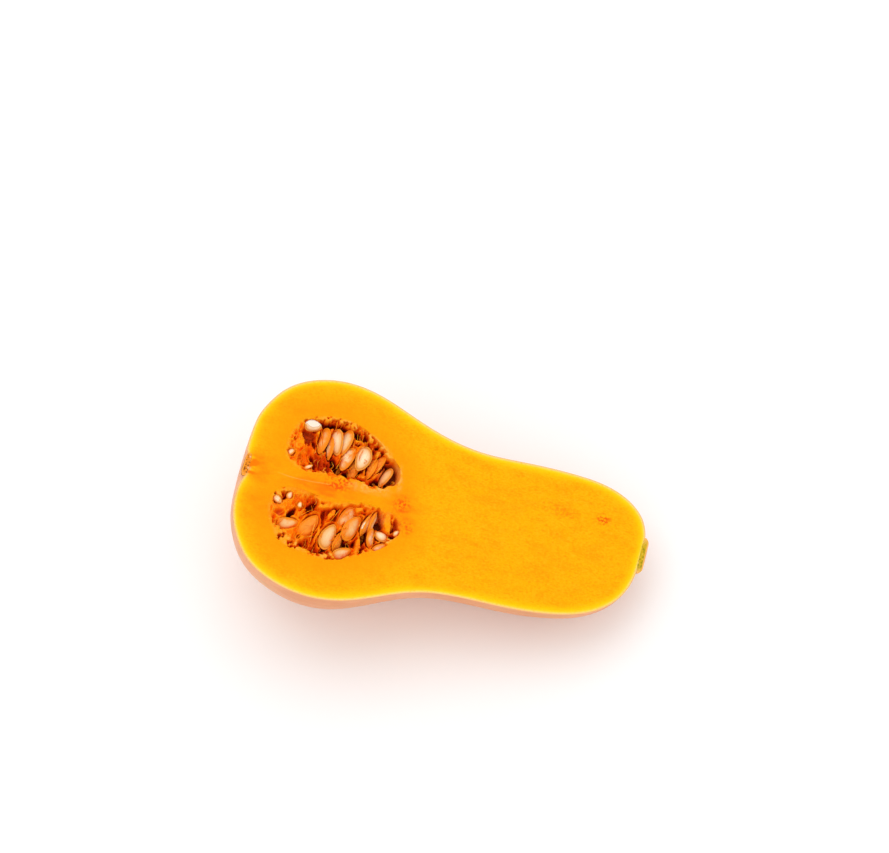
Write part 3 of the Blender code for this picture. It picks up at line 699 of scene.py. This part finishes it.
def pulpHeight(chamber, x, y):
    # height of the torn pulp below the cut: it falls from a ragged rim to the bed, stands in sheets across
    # the chamber and round each seed, opens in pits and is porous where the rim is crumbly
    draw = chamber["draw"]
    inside = insideDepth(chamber["curve"], x, y)
    (rough, roughSize), (fine, fineSize) = chamberShape["ragged"]
    ragged = rough * grain(x, y, roughSize, draw) + fine * grain(x, y, fineSize, draw + 1)
    crumbly, paler = np.zeros_like(inside), np.zeros_like(inside)
    for poreX, poreY, reach, pale in chamber["porous"]:
        near = 1 - smoothStep(np.hypot(x - poreX, y - poreY) / reach, 0.5, 1.1)
        crumbly, paler = np.maximum(crumbly, near), np.maximum(paler, near * pale)
    wall = smoothStep(inside + ragged - chamberShape["crumble"] * crumbly, *chamberShape["wall"])
    far = smoothStep(x + 2 * grain(x, y, 8, draw + 2), *chamber["sinks"])
    height = -(chamber["shallow"] + (chamber["deep"] - chamber["shallow"]) * far) * wall
    across = (x + chamber["lean"] * y) / chamberShape["ridgeSpacing"] + 0.25 * grain(x, y, 9, draw + 3)
    height += chamberShape["ridge"] * far * wall * np.cos(2 * math.pi * across)
    steep = wall * (1 - smoothStep(inside, 2.0, 6.0))
    for name, where in (("sheets", far * wall), ("lumps", wall), ("flakes", steep)):
        tall, drawnOut, size, level, own = chamberShape[name]
        height += tall * where * (crest(x, drawnOut * y, size, draw + own) - level)
    height += chamberShape["fibre"] * wall * grain(x, 0.35 * y, 0.7, draw + 5)
    for *plate, level in chamber["plates"]:
        reach = ovalReach(x, y, *plate, shift=0.5 * ragged)
        level = level + 0.5 * grain(x, y, 1.6, draw + 11) * (level < -0.5)
        height += (level - height) * (1 - smoothStep(reach, 0.65, 1.15))
    for seedX, seedY, seedZ, heading, roll, length, width, film, _ in chamber["seeds"]:
        halfWidth, _ = seedHalves(width, roll)
        reach = ovalReach(x, y, seedX, seedY, length, 2 * halfWidth, heading) + 0.05 * ragged
        sheath = min(seedZ + 1.3 + 1.2 * film, chamberShape["highest"]) + 0.6 * grain(x, y, 1.7, draw + 6)
        hug = np.exp(-(((reach - chamberShape["hug"][0]) / chamberShape["hug"][1]) ** 2))
        hug *= 0.62 + 0.38 * grain(x, y, 3.0, draw + 12)
        height += np.maximum(sheath - height, 0) * hug * smoothStep(inside, 0, 2)
        nest = seedZ - 1.2 - chamberShape["seedHalf"] * abs(math.sin(math.radians(roll)))
        height += (np.minimum(nest, height) - height) * (1 - smoothStep(reach, *chamberShape["nest"]))
    bare = np.zeros_like(height)
    for *pit, depth, edge in chamber["pits"]:
        reach = ovalReach(x, y, *pit) + 0.28 * edge * ragged
        deeper = np.minimum(-depth + 0.8 * edge * grain(x, y, 1.4, draw + 7), height)
        height += (deeper - height) * (1 - smoothStep(reach, 0.60, 1.10 + 0.35 * (1 - edge)))
    for bareX, bareY, length, width, clear in chamber["bare"]:
        reach = np.hypot((x - bareX) / length, (y - bareY) / width)
        bare = np.maximum(bare, clear * (1 - smoothStep(reach, 0.6, 1.05)))
    band = smoothStep(inside, -1.3, 0.3) * (1 - smoothStep(inside, 3.0, 7.0))
    pore = grain(x, y, 2.1, draw + 8) + 0.65 * grain(x, y, 1.1, draw + 9)
    height -= chamberShape["pores"] * band * (0.06 + 0.94 * crumbly) * smoothStep(pore, 0.10, 0.62)
    height = np.minimum(height, -0.03)
    fade = smoothStep(inside, -chamberShape["grow"], -chamberShape["grow"] + 0.5)
    paler = band * (0.15 + 0.75 * paler)
    return -0.01 + (height + 0.01) * fade, bare, inside, paler


def bowlBelow(centre, reach, turn, depth):
    # rings that go down from an edge, by the cosine of the turn inwards and by its sine down
    flat = centre + reach * np.cos(turn)[:, None, None]
    down = -depth * np.sin(turn)[:, None, None] * np.ones((1, len(reach), 1))
    return np.concatenate([flat, down], axis=-1)


def makePulp(name, chamber):
    # rings of the grown rim drawn in to the middle carry the pulp's height, and a bowl closes it below
    centre, reach = grownRim(chamber, chamberShape["grow"] + 0.04)
    share = np.linspace(1, 0, chamberShape["rings"])[:, None]
    x = centre[0] + reach[:, 0] * share
    y = centre[1] + reach[:, 1] * share
    height, bare, inside, paler = pulpHeight(chamber, x, y)
    height[-1] = height[-1].mean()
    top = np.stack([x, y, height], axis=-1)
    turn = np.linspace(0, math.pi / 2, chamberShape["floorRings"] + 1)[1:]
    bowl = bowlBelow(centre, reach, turn, chamberShape["depth"] + chamberShape["floorClear"])
    rings = np.concatenate([top[::-1], bowl])
    below = np.zeros(bowl.shape[:2])
    values = dict(
        fromSkin=np.full(rings.shape[:2], fleshLook["pastSkin"]),
        fromChamber=np.concatenate([np.maximum(-inside, 0)[::-1], below]),
        # sunk sets the painted shade by depth; the bowl below the pulp takes that of 10 mm down
        sunk=np.concatenate([-height[::-1], below + 10]),
        bare=np.concatenate([bare[::-1], below]),
        paler=np.concatenate([paler[::-1], below]),
        **{key: np.zeros(rings.shape[:2]) for key in ("seam", "warm", "crumbs")},
    )
    for key in ("warm", "paler", "crumbs"):
        for patch in fruit[key]:
            values[key][: len(top)] = np.maximum(values[key][: len(top)], softPatch(x, y, patch)[::-1])
    faces = netFaces(len(rings), len(reach), closed=True).tolist()
    piece = makePiece(name, rings, faces, [flesh], values, sharpAt=80)
    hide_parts(chamber["node"])


bodyShape = dict(
    lines=(0.35, 0.8, 1.5, 2.6),  # distances from the skin of the lines of points that follow it
    netX=(-6, 236),  # the even net of points inside them
    netY=(-72, 66),
    net=1.5,
    netFromSkin=3.6,
    netFromHole=0.8,
    netFromSeam=1.0,
    seamLines=(-0.45, 0.0, 0.45),
    seamPoints=60,
    seamEnds=8,
)


def makeBody():
    # skin rings, the cut face between their ends as a net of triangles with the chambers left open, and a
    # bowl under each opening
    rings = pressFlat(skinRings)
    rows, columns = rings.shape[:2]
    skinFaces = netFaces(rows, columns, closed=False)
    edge = np.vstack([rings[:, 0, :2], rings[-2:0:-1, -1, :2]])
    holes = [sum(grownRim(chamber, chamberShape["grow"])) for chamber in chambers.values()]

    # points inside the face: lines that follow the skin, then an even net
    inward = edge - np.roll(edge, -1, axis=0)
    inward = np.stack([inward[:, 1], -inward[:, 0]], axis=-1) / np.linalg.norm(inward, axis=1)[:, None]
    if insideDepth(edge, *(edge[len(edge) // 3] + inward[len(edge) // 3])[:, None])[0] < 0:
        inward = -inward
    lines = [edge + inward * away for away in bodyShape["lines"]]
    step = bodyShape["net"]
    netX, netY = np.meshgrid(np.arange(*bodyShape["netX"], step), np.arange(*bodyShape["netY"], step))
    netX = netX + step / 2 * (np.arange(netX.shape[0]) % 2)[:, None]
    net = np.stack([netX.ravel(), netY.ravel()], axis=-1)
    net = net[insideDepth(edge, *net.T) > bodyShape["netFromSkin"]]
    for hole in holes:
        net = net[insideDepth(hole, *net.T) < -bodyShape["netFromHole"]]
    seamX = np.linspace(fruit["seam"][0][0], fruit["seam"][-1][0], bodyShape["seamPoints"])
    seamY = np.interp(seamX, *np.array(fruit["seam"]).T) + 0.35 * grain(seamX, seamX * 0, 6, 5)
    seamLines = [np.stack([seamX, seamY + aside], axis=-1) for aside in bodyShape["seamLines"]]
    net = net[np.abs(np.interp(net[:, 0], seamX, seamY) - net[:, 1]) > bodyShape["netFromSeam"]]
    loops = [edge, *holes]
    inner = [line[insideDepth(edge, *line.T) > 0.3] for line in lines] + seamLines + [net]
    spots = np.vstack(loops + inner)
    borders, first = [], 0
    for loop in loops:
        here = first + np.arange(len(loop))
        borders += np.stack([here, np.roll(here, -1)], axis=-1).tolist()
        first += len(loop)
    made = geometry.delaunay_2d_cdt([Vector(spot) for spot in spots.tolist()], borders, [], 1, 1e-6)
    face = np.array([tuple(point) for point in made[0]])
    triangles = np.array(made[2])
    middle = face[triangles].mean(axis=1)
    keep = insideDepth(edge, *middle.T) > 0
    for hole in holes:
        keep &= insideDepth(hole, *middle.T) < 0
    triangles = triangles[keep]

    toChamber = np.min([-insideDepth(hole, *face.T) for hole in holes], axis=0)
    seamAway = np.abs(np.interp(face[:, 0], seamX, seamY) - face[:, 1])
    onSeam = 1 - smoothStep(seamAway, 0.05, 0.4)
    onSeam = onSeam * (
        smoothStep(face[:, 0], seamX[0], seamX[0] + bodyShape["seamEnds"])
        * (1 - smoothStep(face[:, 0], seamX[-1] - bodyShape["seamEnds"], seamX[-1]))
    )
    onSkin = rows * columns
    parts = [rings.reshape(-1, 3), np.column_stack([face, np.zeros(len(face))])]
    skinAway = [np.zeros(onSkin), np.maximum(insideDepth(edge, *face.T), 0)]
    chamberAway = [np.full(onSkin, fleshLook["pastChamber"]), np.maximum(toChamber, 0) + chamberShape["grow"]]
    sunk = [np.zeros(onSkin), np.zeros(len(face))]
    faces = skinFaces.tolist() + (triangles + onSkin).tolist()
    turn = np.linspace(0, math.pi / 2, chamberShape["bowlRings"])
    for hole in holes:
        centre = hole.mean(axis=0)
        bowl = bowlBelow(centre, hole - centre, turn, chamberShape["depth"] + chamberShape["bowlClear"])
        first = sum(len(part) for part in parts)
        faces += netFaces(*bowl.shape[:2], closed=True, first=first).tolist()
        parts.append(bowl.reshape(-1, 3))
        skinAway.append(np.full(len(parts[-1]), fleshLook["pastSkin"]))
        chamberAway.append(np.zeros(len(parts[-1])))
        # the bowls under the openings take painted shade by their depth
        sunk.append(-parts[-1][:, 2])
    total = sum(len(part) for part in parts)

    def onFace(numbers):
        # numbers for the cut face's points, 0 for all others
        return np.pad(numbers, (onSkin, total - onSkin - len(face)))

    values = dict(
        fromSkin=np.concatenate(skinAway),
        fromChamber=np.concatenate(chamberAway),
        sunk=np.concatenate(sunk),
        bare=np.zeros(total),
        seam=onFace(onSeam),
    )
    for key in ("warm", "paler", "crumbs"):
        values[key] = onFace(np.max([softPatch(*face.T, patch) for patch in fruit[key]], axis=0))
    slots = np.zeros(len(faces), int)
    slots[: len(skinFaces)] = 1
    piece = makePiece(
        "squashBody", np.vstack(parts), faces, [flesh, skin], values, faceSlots=slots, sharpAt=45
    )
    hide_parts("squash_half")


for chamber in chambers.values():
    chamber["curve"] = closedCurve(chamber["rim"], steps=8)
makeBody()
print("flesh and skin made")
for side, chamber in chambers.items():
    makePulp(side + "Pulp", chamber)
print("pulp made")

seedLook = dict(
    # groove is painted shade in the groove inside the edge, and side is painted shade on the flanks over
    # their own tan
    pale="#ffebc6", tan="#f3b262", streak="#f6c078", edge="#f4a23c", groove="#bc681c", film="#f88c0c",
    side="#ea9e48",
    # where it is cut: from the hull, over the gap inside it, which is painted dark as its shade, to the
    # kernel
    opened=[(0.0, "#e8b880"), (0.20, "#fbdcb4"), (0.34, "#b8682c"), (0.46, "#fbe6d2"), (1.0, "#fbe6d2")],
)


def makeHull():
    # squash seed: a tough papery hull, satin, cream with a tan thickened edge, streaked lengthwise, and
    # pulp that clings to it as a wet orange film; the kernel that the knife opened is white and waxy
    material, add = newMaterial("papery seed hull with clinging pulp")
    place = add("TexCoord").outputs["Object"]
    margin, film, tone, kernel = (
        add("Attribute", attribute_name=name).outputs["Fac"] for name in ("margin", "film", "tone", "kernel")
    )
    grainSpot = add("Attribute", attribute_name="grainSpot").outputs["Vector"]
    colour = add("Mix", {0: tone, 6: seedLook["tan"], 7: seedLook["pale"]}, data_type="RGBA")
    # streaks 0.5 mm wide run from point to point; grainSpot is in millimetres
    drawn = add("Mapping", {"Vector": grainSpot, "Scale": (0.12, 1.9, 1.0)})
    streaks = add("TexNoise", {"Vector": drawn, "Scale": 1.0, "Detail": 3.0})
    colour = layOver(add, colour, seedLook["streak"], place, streaks, (0.42, 0.72, 0.0, 0.50))
    # the bulging middle is left palest as a painted highlight and its flanks turn tan, partly the seed's own
    # tan and partly painted shade; a darker band inside the edge is painted shade in the groove there
    colour = layOver(add, colour, seedLook["side"], place, margin, (0.25, 0.84, 0.0, 0.75))
    for name, stops in (
        ("edge", [(0.0, 0.0), (0.62, 0.0), (0.80, 0.45), (0.87, 1.0), (1.0, 1.0)]),
        ("groove", [(0.0, 0.0), (0.74, 0.0), (0.86, 0.48), (0.94, 0.0), (1.0, 0.0)]),
    ):
        share = add("ValToRGB", {"Fac": margin}, stops=stops)
        colour = add("Mix", {0: share, 6: colour, 7: seedLook[name]}, data_type="RGBA")
    # the film breaks into patches 3.5 mm wide where less of it clings
    cling = add("TexNoise", {"Vector": place, "Scale": 1 / 0.0035, "Detail": 4.0})
    cling = add("Math", {0: cling, 1: film}, operation="ADD")
    rimmed = add("MapRange", {0: margin, 1: 0.55, 2: 0.95, 3: 0.0, 4: 0.24})
    cling = add("Math", {0: cling, 1: rimmed}, operation="ADD")
    cling = add("MapRange", {0: cling, 1: 0.76, 2: 1.04, 3: 0.0, 4: 0.90})
    colour = add("Mix", {0: cling, 6: colour, 7: seedLook["film"]}, data_type="RGBA")
    # the opened seed, with painted shade in the gap between hull and kernel
    white = add("ValToRGB", {"Fac": kernel}, stops=seedLook["opened"])
    colour = layOver(add, colour, white, place, kernel, (0.0, 0.04, 0.0, 1.0))
    relief = add("Bump", {"Height": streaks, "Strength": 0.25, "Distance": 0.12 * mm})
    closeMaterial(add, {
        "Base Color": colour, "Roughness": add("MapRange", {0: cling, 3: 0.42, 4: 0.30}), "IOR": 1.46,
        "Specular IOR Level": 0.12, "Subsurface Weight": 0.10, "Subsurface Radius": (1.0, 0.7, 0.45),
        "Subsurface Scale": 0.8 * mm, "Normal": relief,
    })
    return material


hull = makeHull()
seedShape = dict(
    around=36,
    shares=(0, 0.2, 0.4, 0.56, 0.68, 0.77, 0.83, 0.87, 0.90, 0.93, 0.96, 0.985, 1.0),
    thickness=3.4,
    body=0.90,  # where the plump body ends, as a share of the radius
    edge=(0.93, 0.07, 0.30),  # middle and half width of the thick edge, and its height
    bow=0.012,  # share of the length
    dents=0.16,
    lumps=0.9,
)
# more seeds in the pulp below, which shows little of them
seedsBelow = dict(
    count=9, x=(36, 82), z=(-13.0, -11.0), inside=8, heading=80, turn=25, roll=(20, 80),
    rest=(15, 8, 1.0, 0.1),  # length, width, film and tone
)


def deeperSeeds(chamber):
    # drawn places under the ones in view, well inside the rim, the seeds lying across the chamber
    draw = np.random.default_rng(chamber["draw"] + 50)
    curve, found = chamber["curve"], []
    while len(found) < seedsBelow["count"]:
        x, y = draw.uniform(*seedsBelow["x"]), draw.uniform(curve[:, 1].min(), curve[:, 1].max())
        if insideDepth(curve, np.array([x]), np.array([y]))[0] > seedsBelow["inside"]:
            heading = seedsBelow["heading"] + draw.uniform(-seedsBelow["turn"], seedsBelow["turn"])
            z, roll = draw.uniform(*seedsBelow["z"]), draw.uniform(*seedsBelow["roll"])
            found.append((x, y, z, heading, roll, *seedsBelow["rest"]))
    return tuple(found)


def seedSurface(seed):
    # one seed on a net of share of radius by turn: plump middle, groove, then a thickened edge, drawn out
    # to a point at +x; top and underside meet at the edge
    x, y, z, heading, roll, length, width, film, tone = seed
    share = np.array(seedShape["shares"])
    under = np.concatenate([np.ones(len(share)), -np.ones(len(share) - 1)])
    share = np.concatenate([share, share[-2::-1]])
    turn = np.arange(seedShape["around"]) / seedShape["around"] * 2 * math.pi
    goes = share[:, None] * np.cos(turn)
    aside = share[:, None] * np.sin(turn) * (1 - 0.20 * np.cos(turn) - 0.16 * np.clip(goes, 0, 1) ** 6)
    plump = np.clip(1 - (share / seedShape["body"]) ** 2, 0, 1) ** 0.55
    edgeAt, edgeHalf, edgeHigh = seedShape["edge"]
    edge = edgeHigh * np.sqrt(np.clip(1 - ((share - edgeAt) / edgeHalf) ** 2, 0, 1))
    thick = min(seedShape["thickness"], 0.42 * width)
    height = (np.maximum(plump, edge) * under * thick / 2)[:, None] * np.ones(len(turn))
    # a slight bow lengthwise, a dented face, and lumps where pulp clings
    height = height + seedShape["bow"] * length * (goes**2 - 0.3)
    dents = grain(goes * length / 3 + x, aside * width / 3 + y, 1.0, 31)
    height = height + seedShape["dents"] * dents * plump[:, None]
    lumps = np.clip(grain(goes * length / 2 + x, aside * width / 2 + y, 1.3, 32) + 0.2, 0, 1)
    height = height + seedShape["lumps"] * film * lumps * plump[:, None] * under[:, None]
    local = np.stack([goes * length / 2, aside * width / 2, height], axis=-1)
    local[..., 1] += 0.05 * width * np.sin(goes * 2.2 + x)  # no two are quite straight
    grainSpot = local + np.array((x, y, z * 3))
    slope, angle = math.radians(roll), math.radians(heading)
    side = local[..., 1] * math.cos(slope) - local[..., 2] * math.sin(slope)
    rise = local[..., 1] * math.sin(slope) + local[..., 2] * math.cos(slope)
    points = np.stack(
        [
            x + local[..., 0] * math.cos(angle) - side * math.sin(angle),
            y + local[..., 0] * math.sin(angle) + side * math.cos(angle),
            z + rise,
        ],
        axis=-1,
    )
    above = points[..., 2] + 0.05
    points[..., 2] = np.minimum(points[..., 2], -0.05)
    values = dict(
        margin=share[:, None] * np.ones(len(turn)),
        film=np.full(above.shape, film),
        tone=np.full(above.shape, tone),
        kernel=np.clip(above / 1.2, 0, 1),
    )
    return points, grainSpot, values


def makeSeeds(name, chamber):
    made = [seedSurface(seed) for seed in chamber["seeds"] + deeperSeeds(chamber)]
    points, spots = (np.stack([seed[part] for seed in made]) for part in (0, 1))
    values = {key: np.stack([seed[2][key] for seed in made]) for key in made[0][2]}
    faces = netFaces(*points.shape[1:3], closed=True, copies=len(made)).tolist()
    piece = makePiece(name, points, faces, [hull], values, dict(grainSpot=spots), sharpAt=70)
    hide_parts(chamber["node"])


for side, chamber in chambers.items():
    makeSeeds(side + "Seeds", chamber)
print("seeds made")

threadLook = dict(light="#fe9c10", dark="#f47204", pale="#ffb648")


def makeThreadFinish():
    # pulp threads: wet plant fibre, so they gleam and let light through, orange with paler dry ends
    material, add = newMaterial("wet squash pulp threads")
    place = add("TexCoord").outputs["Object"]
    patches = add("TexNoise", {"Vector": place, "Scale": 1 / 0.004, "Detail": 3.0})
    stops = list(zip((0.34, 0.52, 0.70), (threadLook[name] for name in ("dark", "light", "pale"))))
    colour = add("ValToRGB", {"Fac": patches}, stops=stops)
    closeMaterial(add, {
        "Base Color": colour, "Roughness": 0.33, "IOR": 1.40, "Specular IOR Level": 0.15,
        "Subsurface Weight": 0.35, "Subsurface Radius": (1.0, 0.4, 0.1), "Subsurface Scale": 1.0 * mm,
        "Normal": addRelief(add, place, (0.0004, 2.0, 0.4, 0.08)),
    })
    return material


threadFinish = makeThreadFinish()
threadShape = dict(
    count=120, steps=18, sides=8, short=3.0, long=13.0,
    radius=(0.10, 0.30),
    sheet=(0.7, 2.2),  # half a sheet's height
    sheets=0.6,  # share of the threads that are sheets
    heading=(78, 20),  # mean and spread
    wave=(0.2, 0.9),  # how far a thread swings, how many waves it has, and how deep it sags
    waves=(0.5, 1.6),
    sag=(0.3, 2.0),
    clear=0.8,  # share of its length that must be free of seeds
    over=0.14,  # share of the threads that pass over seeds
    noSeed=-30.0,
)


def seedCover(chamber, x, y):
    # height of the seeds' upper faces, each taken as a flattened ball, and far down where there is none
    cover = np.full(np.shape(x), threadShape["noSeed"])
    for seedX, seedY, seedZ, heading, roll, length, width, _, _ in chamber["seeds"]:
        halfWidth, halfThick = seedHalves(width, roll)
        goes, aside = turnedTo(x, y, seedX, seedY, heading)
        room = 1 - (goes / (length / 2)) ** 2 - (aside / halfWidth) ** 2
        face = seedZ + halfThick * np.sqrt(np.clip(room, 0, 1))
        cover = np.where(room > 0, np.maximum(cover, face), cover)
    return cover


def makeThreads(name, chamber):
    # each thread or thin sheet runs across the chamber in a wave, rises from the pulp and bridges its
    # pits; an ellipse, some as tall as a sheet, is carried along it and closes to nothing at both ends
    draw = np.random.default_rng(chamber["draw"] + 80)
    count, steps, sides = (threadShape[key] for key in ("count", "steps", "sides"))
    curve = chamber["curve"]
    start = curve[draw.integers(0, len(curve), count)]
    start = start + (curve.mean(axis=0) - start) * draw.uniform(-0.02, 0.8, (count, 1))
    heading = np.radians(draw.normal(*threadShape["heading"], count))
    length = threadShape["short"] + (threadShape["long"] - threadShape["short"]) * draw.random(count) ** 2
    share = np.linspace(0, 1, steps)
    goes = (share - 0.5) * length[:, None]
    wave = draw.uniform(*threadShape["wave"], (count, 1)) * np.sin(
        2 * math.pi * (share * draw.uniform(*threadShape["waves"], (count, 1)) + draw.random((count, 1)))
    )
    x = start[:, :1] + goes * np.cos(heading)[:, None] - wave * np.sin(heading)[:, None]
    y = start[:, 1:] + goes * np.sin(heading)[:, None] + wave * np.cos(heading)[:, None]
    ground, _, inside, _ = pulpHeight(chamber, x, y)
    cover = seedCover(chamber, x, y)
    chord = ground[:, :1] * (1 - share) + ground[:, -1:] * share
    sag = np.sin(math.pi * share) * draw.uniform(*threadShape["sag"], (count, 1))
    thin, thick = threadShape["radius"]
    radius = thin + (thick - thin) * draw.random((count, 1)) ** 2
    sheets = draw.random((count, 1)) < threadShape["sheets"]
    tall = np.where(sheets, draw.uniform(*threadShape["sheet"], (count, 1)), radius)
    z = np.maximum(ground, chord - sag)
    z = np.minimum(z + 0.3 * tall + 0.25 * grain(x * 2, y * 2, 1.0, 3), -0.1 - tall)
    # most lie between the seeds, and some pass over them
    clear = (cover < z + tall).mean(axis=1) > threadShape["clear"]
    over = draw.random(count) < threadShape["over"]
    z = np.where(over[:, None], np.minimum(np.maximum(z, cover + 0.1), -0.1 - tall), z)
    keep = (inside > -0.3).all(axis=1) & (clear | over)
    x, y, z, radius, tall = x[keep], y[keep], z[keep], radius[keep], tall[keep]
    path = np.stack([x, y, z], axis=-1)
    # and the ones that are named, each a little bowed
    ends = np.array([strand[:2] for strand in chamber["strands"]])
    named = ends[:, :1] * (1 - share)[:, None] + ends[:, 1:] * share[:, None]
    named[..., 0] += 0.5 * np.sin(share * math.pi * 1.5) * draw.uniform(-1, 1, (len(ends), 1))
    named[..., 2] -= 0.5 * np.sin(share * math.pi)
    path = np.concatenate([path, named])
    gauge = np.array([[strand[2]] for strand in chamber["strands"]])
    radius, tall = np.concatenate([radius, gauge]), np.concatenate([tall, gauge * 1.8])
    x, y = path[..., 0], path[..., 1]
    ahead = np.gradient(path, axis=1)
    ahead /= np.linalg.norm(ahead, axis=-1, keepdims=True)
    side = np.cross(ahead, np.array((0, 0, 1.0)))
    side /= np.linalg.norm(side, axis=-1, keepdims=True)
    up = np.cross(side, ahead)
    taper = np.sqrt(np.sin(math.pi * share).clip(0, 1)) * (0.85 + 0.3 * grain(x, y, 0.9, 4))
    taper[:, [0, -1]] = 0
    turn = np.arange(sides) / sides * 2 * math.pi
    ring = (side * radius[..., None])[:, :, None] * np.cos(turn)[:, None]
    ring = ring + (up * tall[..., None])[:, :, None] * np.sin(turn)[:, None]
    points = path[:, :, None] + ring * taper[:, :, None, None]
    faces = netFaces(steps, sides, closed=True, copies=len(path)).tolist()
    piece = makePiece(name, points, faces, [threadFinish])
    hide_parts(chamber["node"])


for side, chamber in chambers.items():
    makeThreads(side + "Threads", chamber)
print("pulp threads made")

scar = dict(
    centreY=0.6, slant=0.10, ridges=7, ridge=0.05, rough=0.45, lift=0.06,
    profile=((1.6, 0.0), (1.7, 3.0), (1.5, 5.6), (0.7, 6.6), (-0.5, 6.7), (-1.3, 5.8), (-1.7, 3.6),
             (-1.5, 1.8), (-1.7, 0.0)),  # x and radius
)
stem = dict(
    centreY=-1.2, slant=0.09, ridges=5, ridge=0.06, rough=0.26, lift=0.06,
    profile=((228.9, 0.0), (228.9, 5.0), (229.0, 8.2), (229.3, 9.9), (229.8, 10.5), (230.5, 10.3),
             (231.4, 9.4), (232.3, 8.0), (232.5, 6.2), (232.3, 3.0), (232.2, 0.0)),
)
endShape = dict(
    around=41,
    across=22,
    border=(0.68, 0.92),  # where the cut's border comes in, from root to tip
    outside=0.25,  # how much of it shows on the outside
)


def makeCork(name, dark, light, grey, border):
    # cork: dead dry tissue, dull and cracked, with dark flecks and weathered spots, paler where it meets
    # the living skin
    material, add = newMaterial(name)
    place = add("TexCoord").outputs["Object"]
    byEdge = add("Attribute", attribute_name="byEdge").outputs["Fac"]
    flecks = add("TexNoise", {"Vector": place, "Scale": 1 / 0.0013, "Detail": 3.0})
    colour = add(
        "ValToRGB", {"Fac": flecks}, stops=[(0.36, dark), (0.47, light), (0.60, light), (0.70, grey)]
    )
    colour = add("Mix", {0: byEdge, 6: colour, 7: border}, data_type="RGBA")
    relief = add("Bump", {"Height": flecks, "Strength": 0.7, "Distance": 0.35 * mm})
    closeMaterial(
        add, {"Base Color": colour, "Roughness": 0.8, "Specular IOR Level": 0.15, "Normal": relief}
    )
    return material


def closedProfile(points, steps):
    # rounds the profile a little: quadratic arcs between the middles of its sides
    middle = (points[1:] + points[:-1]) / 2
    share = (np.arange(steps) / steps)[None, :, None]
    start, corner, end = middle[:-1, None], points[1:-1, None], middle[1:, None]
    arcs = (1 - share) ** 2 * start + 2 * share * (1 - share) * corner + share**2 * end
    return np.vstack([points[:1], arcs.reshape(-1, 2), middle[-1:], points[-1:]])


def makeEnd(name, shape, node, outside, cut):
    # half of a turned, ridged button: for each place of the profile, half a turn below the knife's plane
    # and then straight back across it; the cut stands a hair proud of the flesh that it grows into
    profile = closedProfile(np.array(shape["profile"], float), steps=5)
    turn = np.linspace(math.pi, 2 * math.pi, endShape["around"])
    across = np.linspace(1, -1, endShape["across"])[1:-1]
    reach = profile[:, 1:] * (1 + shape["ridge"] * np.cos(shape["ridges"] * turn * 2))
    roughness = shape["rough"] * grain(turn * 6 + profile[:, :1] * 2, profile[:, 1:] * 0.9 + turn * 0, 1.0, 7)
    fade = np.sin(turn - math.pi).clip(0, 1) ** 0.5
    x = profile[:, :1] + roughness * fade * (profile[:, 1:] > 1)
    below = np.stack([x, shape["centreY"] + reach * np.cos(turn), reach * np.sin(turn)], axis=-1)
    below[:, [0, -1], 2] = shape["lift"]
    high, low = below[:, -1, 1], below[:, 0, 1]
    flatY = (high + low)[:, None] / 2 + (high - low)[:, None] / 2 * across
    flat = np.stack([profile[:, :1] + flatY * 0, flatY, flatY * 0 + shape["lift"]], axis=-1)
    rings = np.concatenate([below, flat], axis=1)
    rings[..., 0] += shape["slant"] * (rings[..., 1] - shape["centreY"])
    outward = np.abs(profile[:, :1] - profile[0, 0])
    rimward = smoothStep(outward / outward.max(), *endShape["border"]) * np.ones(rings.shape[1])
    rimward[:, 1 : len(turn) - 1] *= endShape["outside"]
    sideways = (np.abs(rings[..., 1] - shape["centreY"]) / profile[:, 1].max()) ** 6
    values = dict(byEdge=np.clip(np.maximum(rimward, sideways) * 1.1, 0, 1))
    faces = netFaces(*rings.shape[:2], closed=True).tolist()
    columns = np.tile(np.arange(rings.shape[1]), len(rings) - 1)
    slots = (columns >= len(turn) - 1).astype(int)
    piece = makePiece(name, rings, faces, [outside, cut], values, faceSlots=slots, sharpAt=40)
    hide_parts(node)


makeEnd(
    "scarButton", scar, "blossom_scar",
    makeCork("weathered blossom cork", "#7a4a20", "#c08a50", "#c8b694", "#cf9455"),
    makeCork("cut blossom cork", "#7a3206", "#ee8c1e", "#dcc8a4", "#fba53c"),
)
makeEnd(
    "stemStump", stem, "stem_stub",
    makeCork("dry ridged stem wood", "#7d6636", "#c49c66", "#d6b88c", "#d8a06a"),
    makeCork("cut green stem", "#9a8a14", "#d0aa12", "#ecc46c", "#fbb866"),
)
print("stem and scar made")
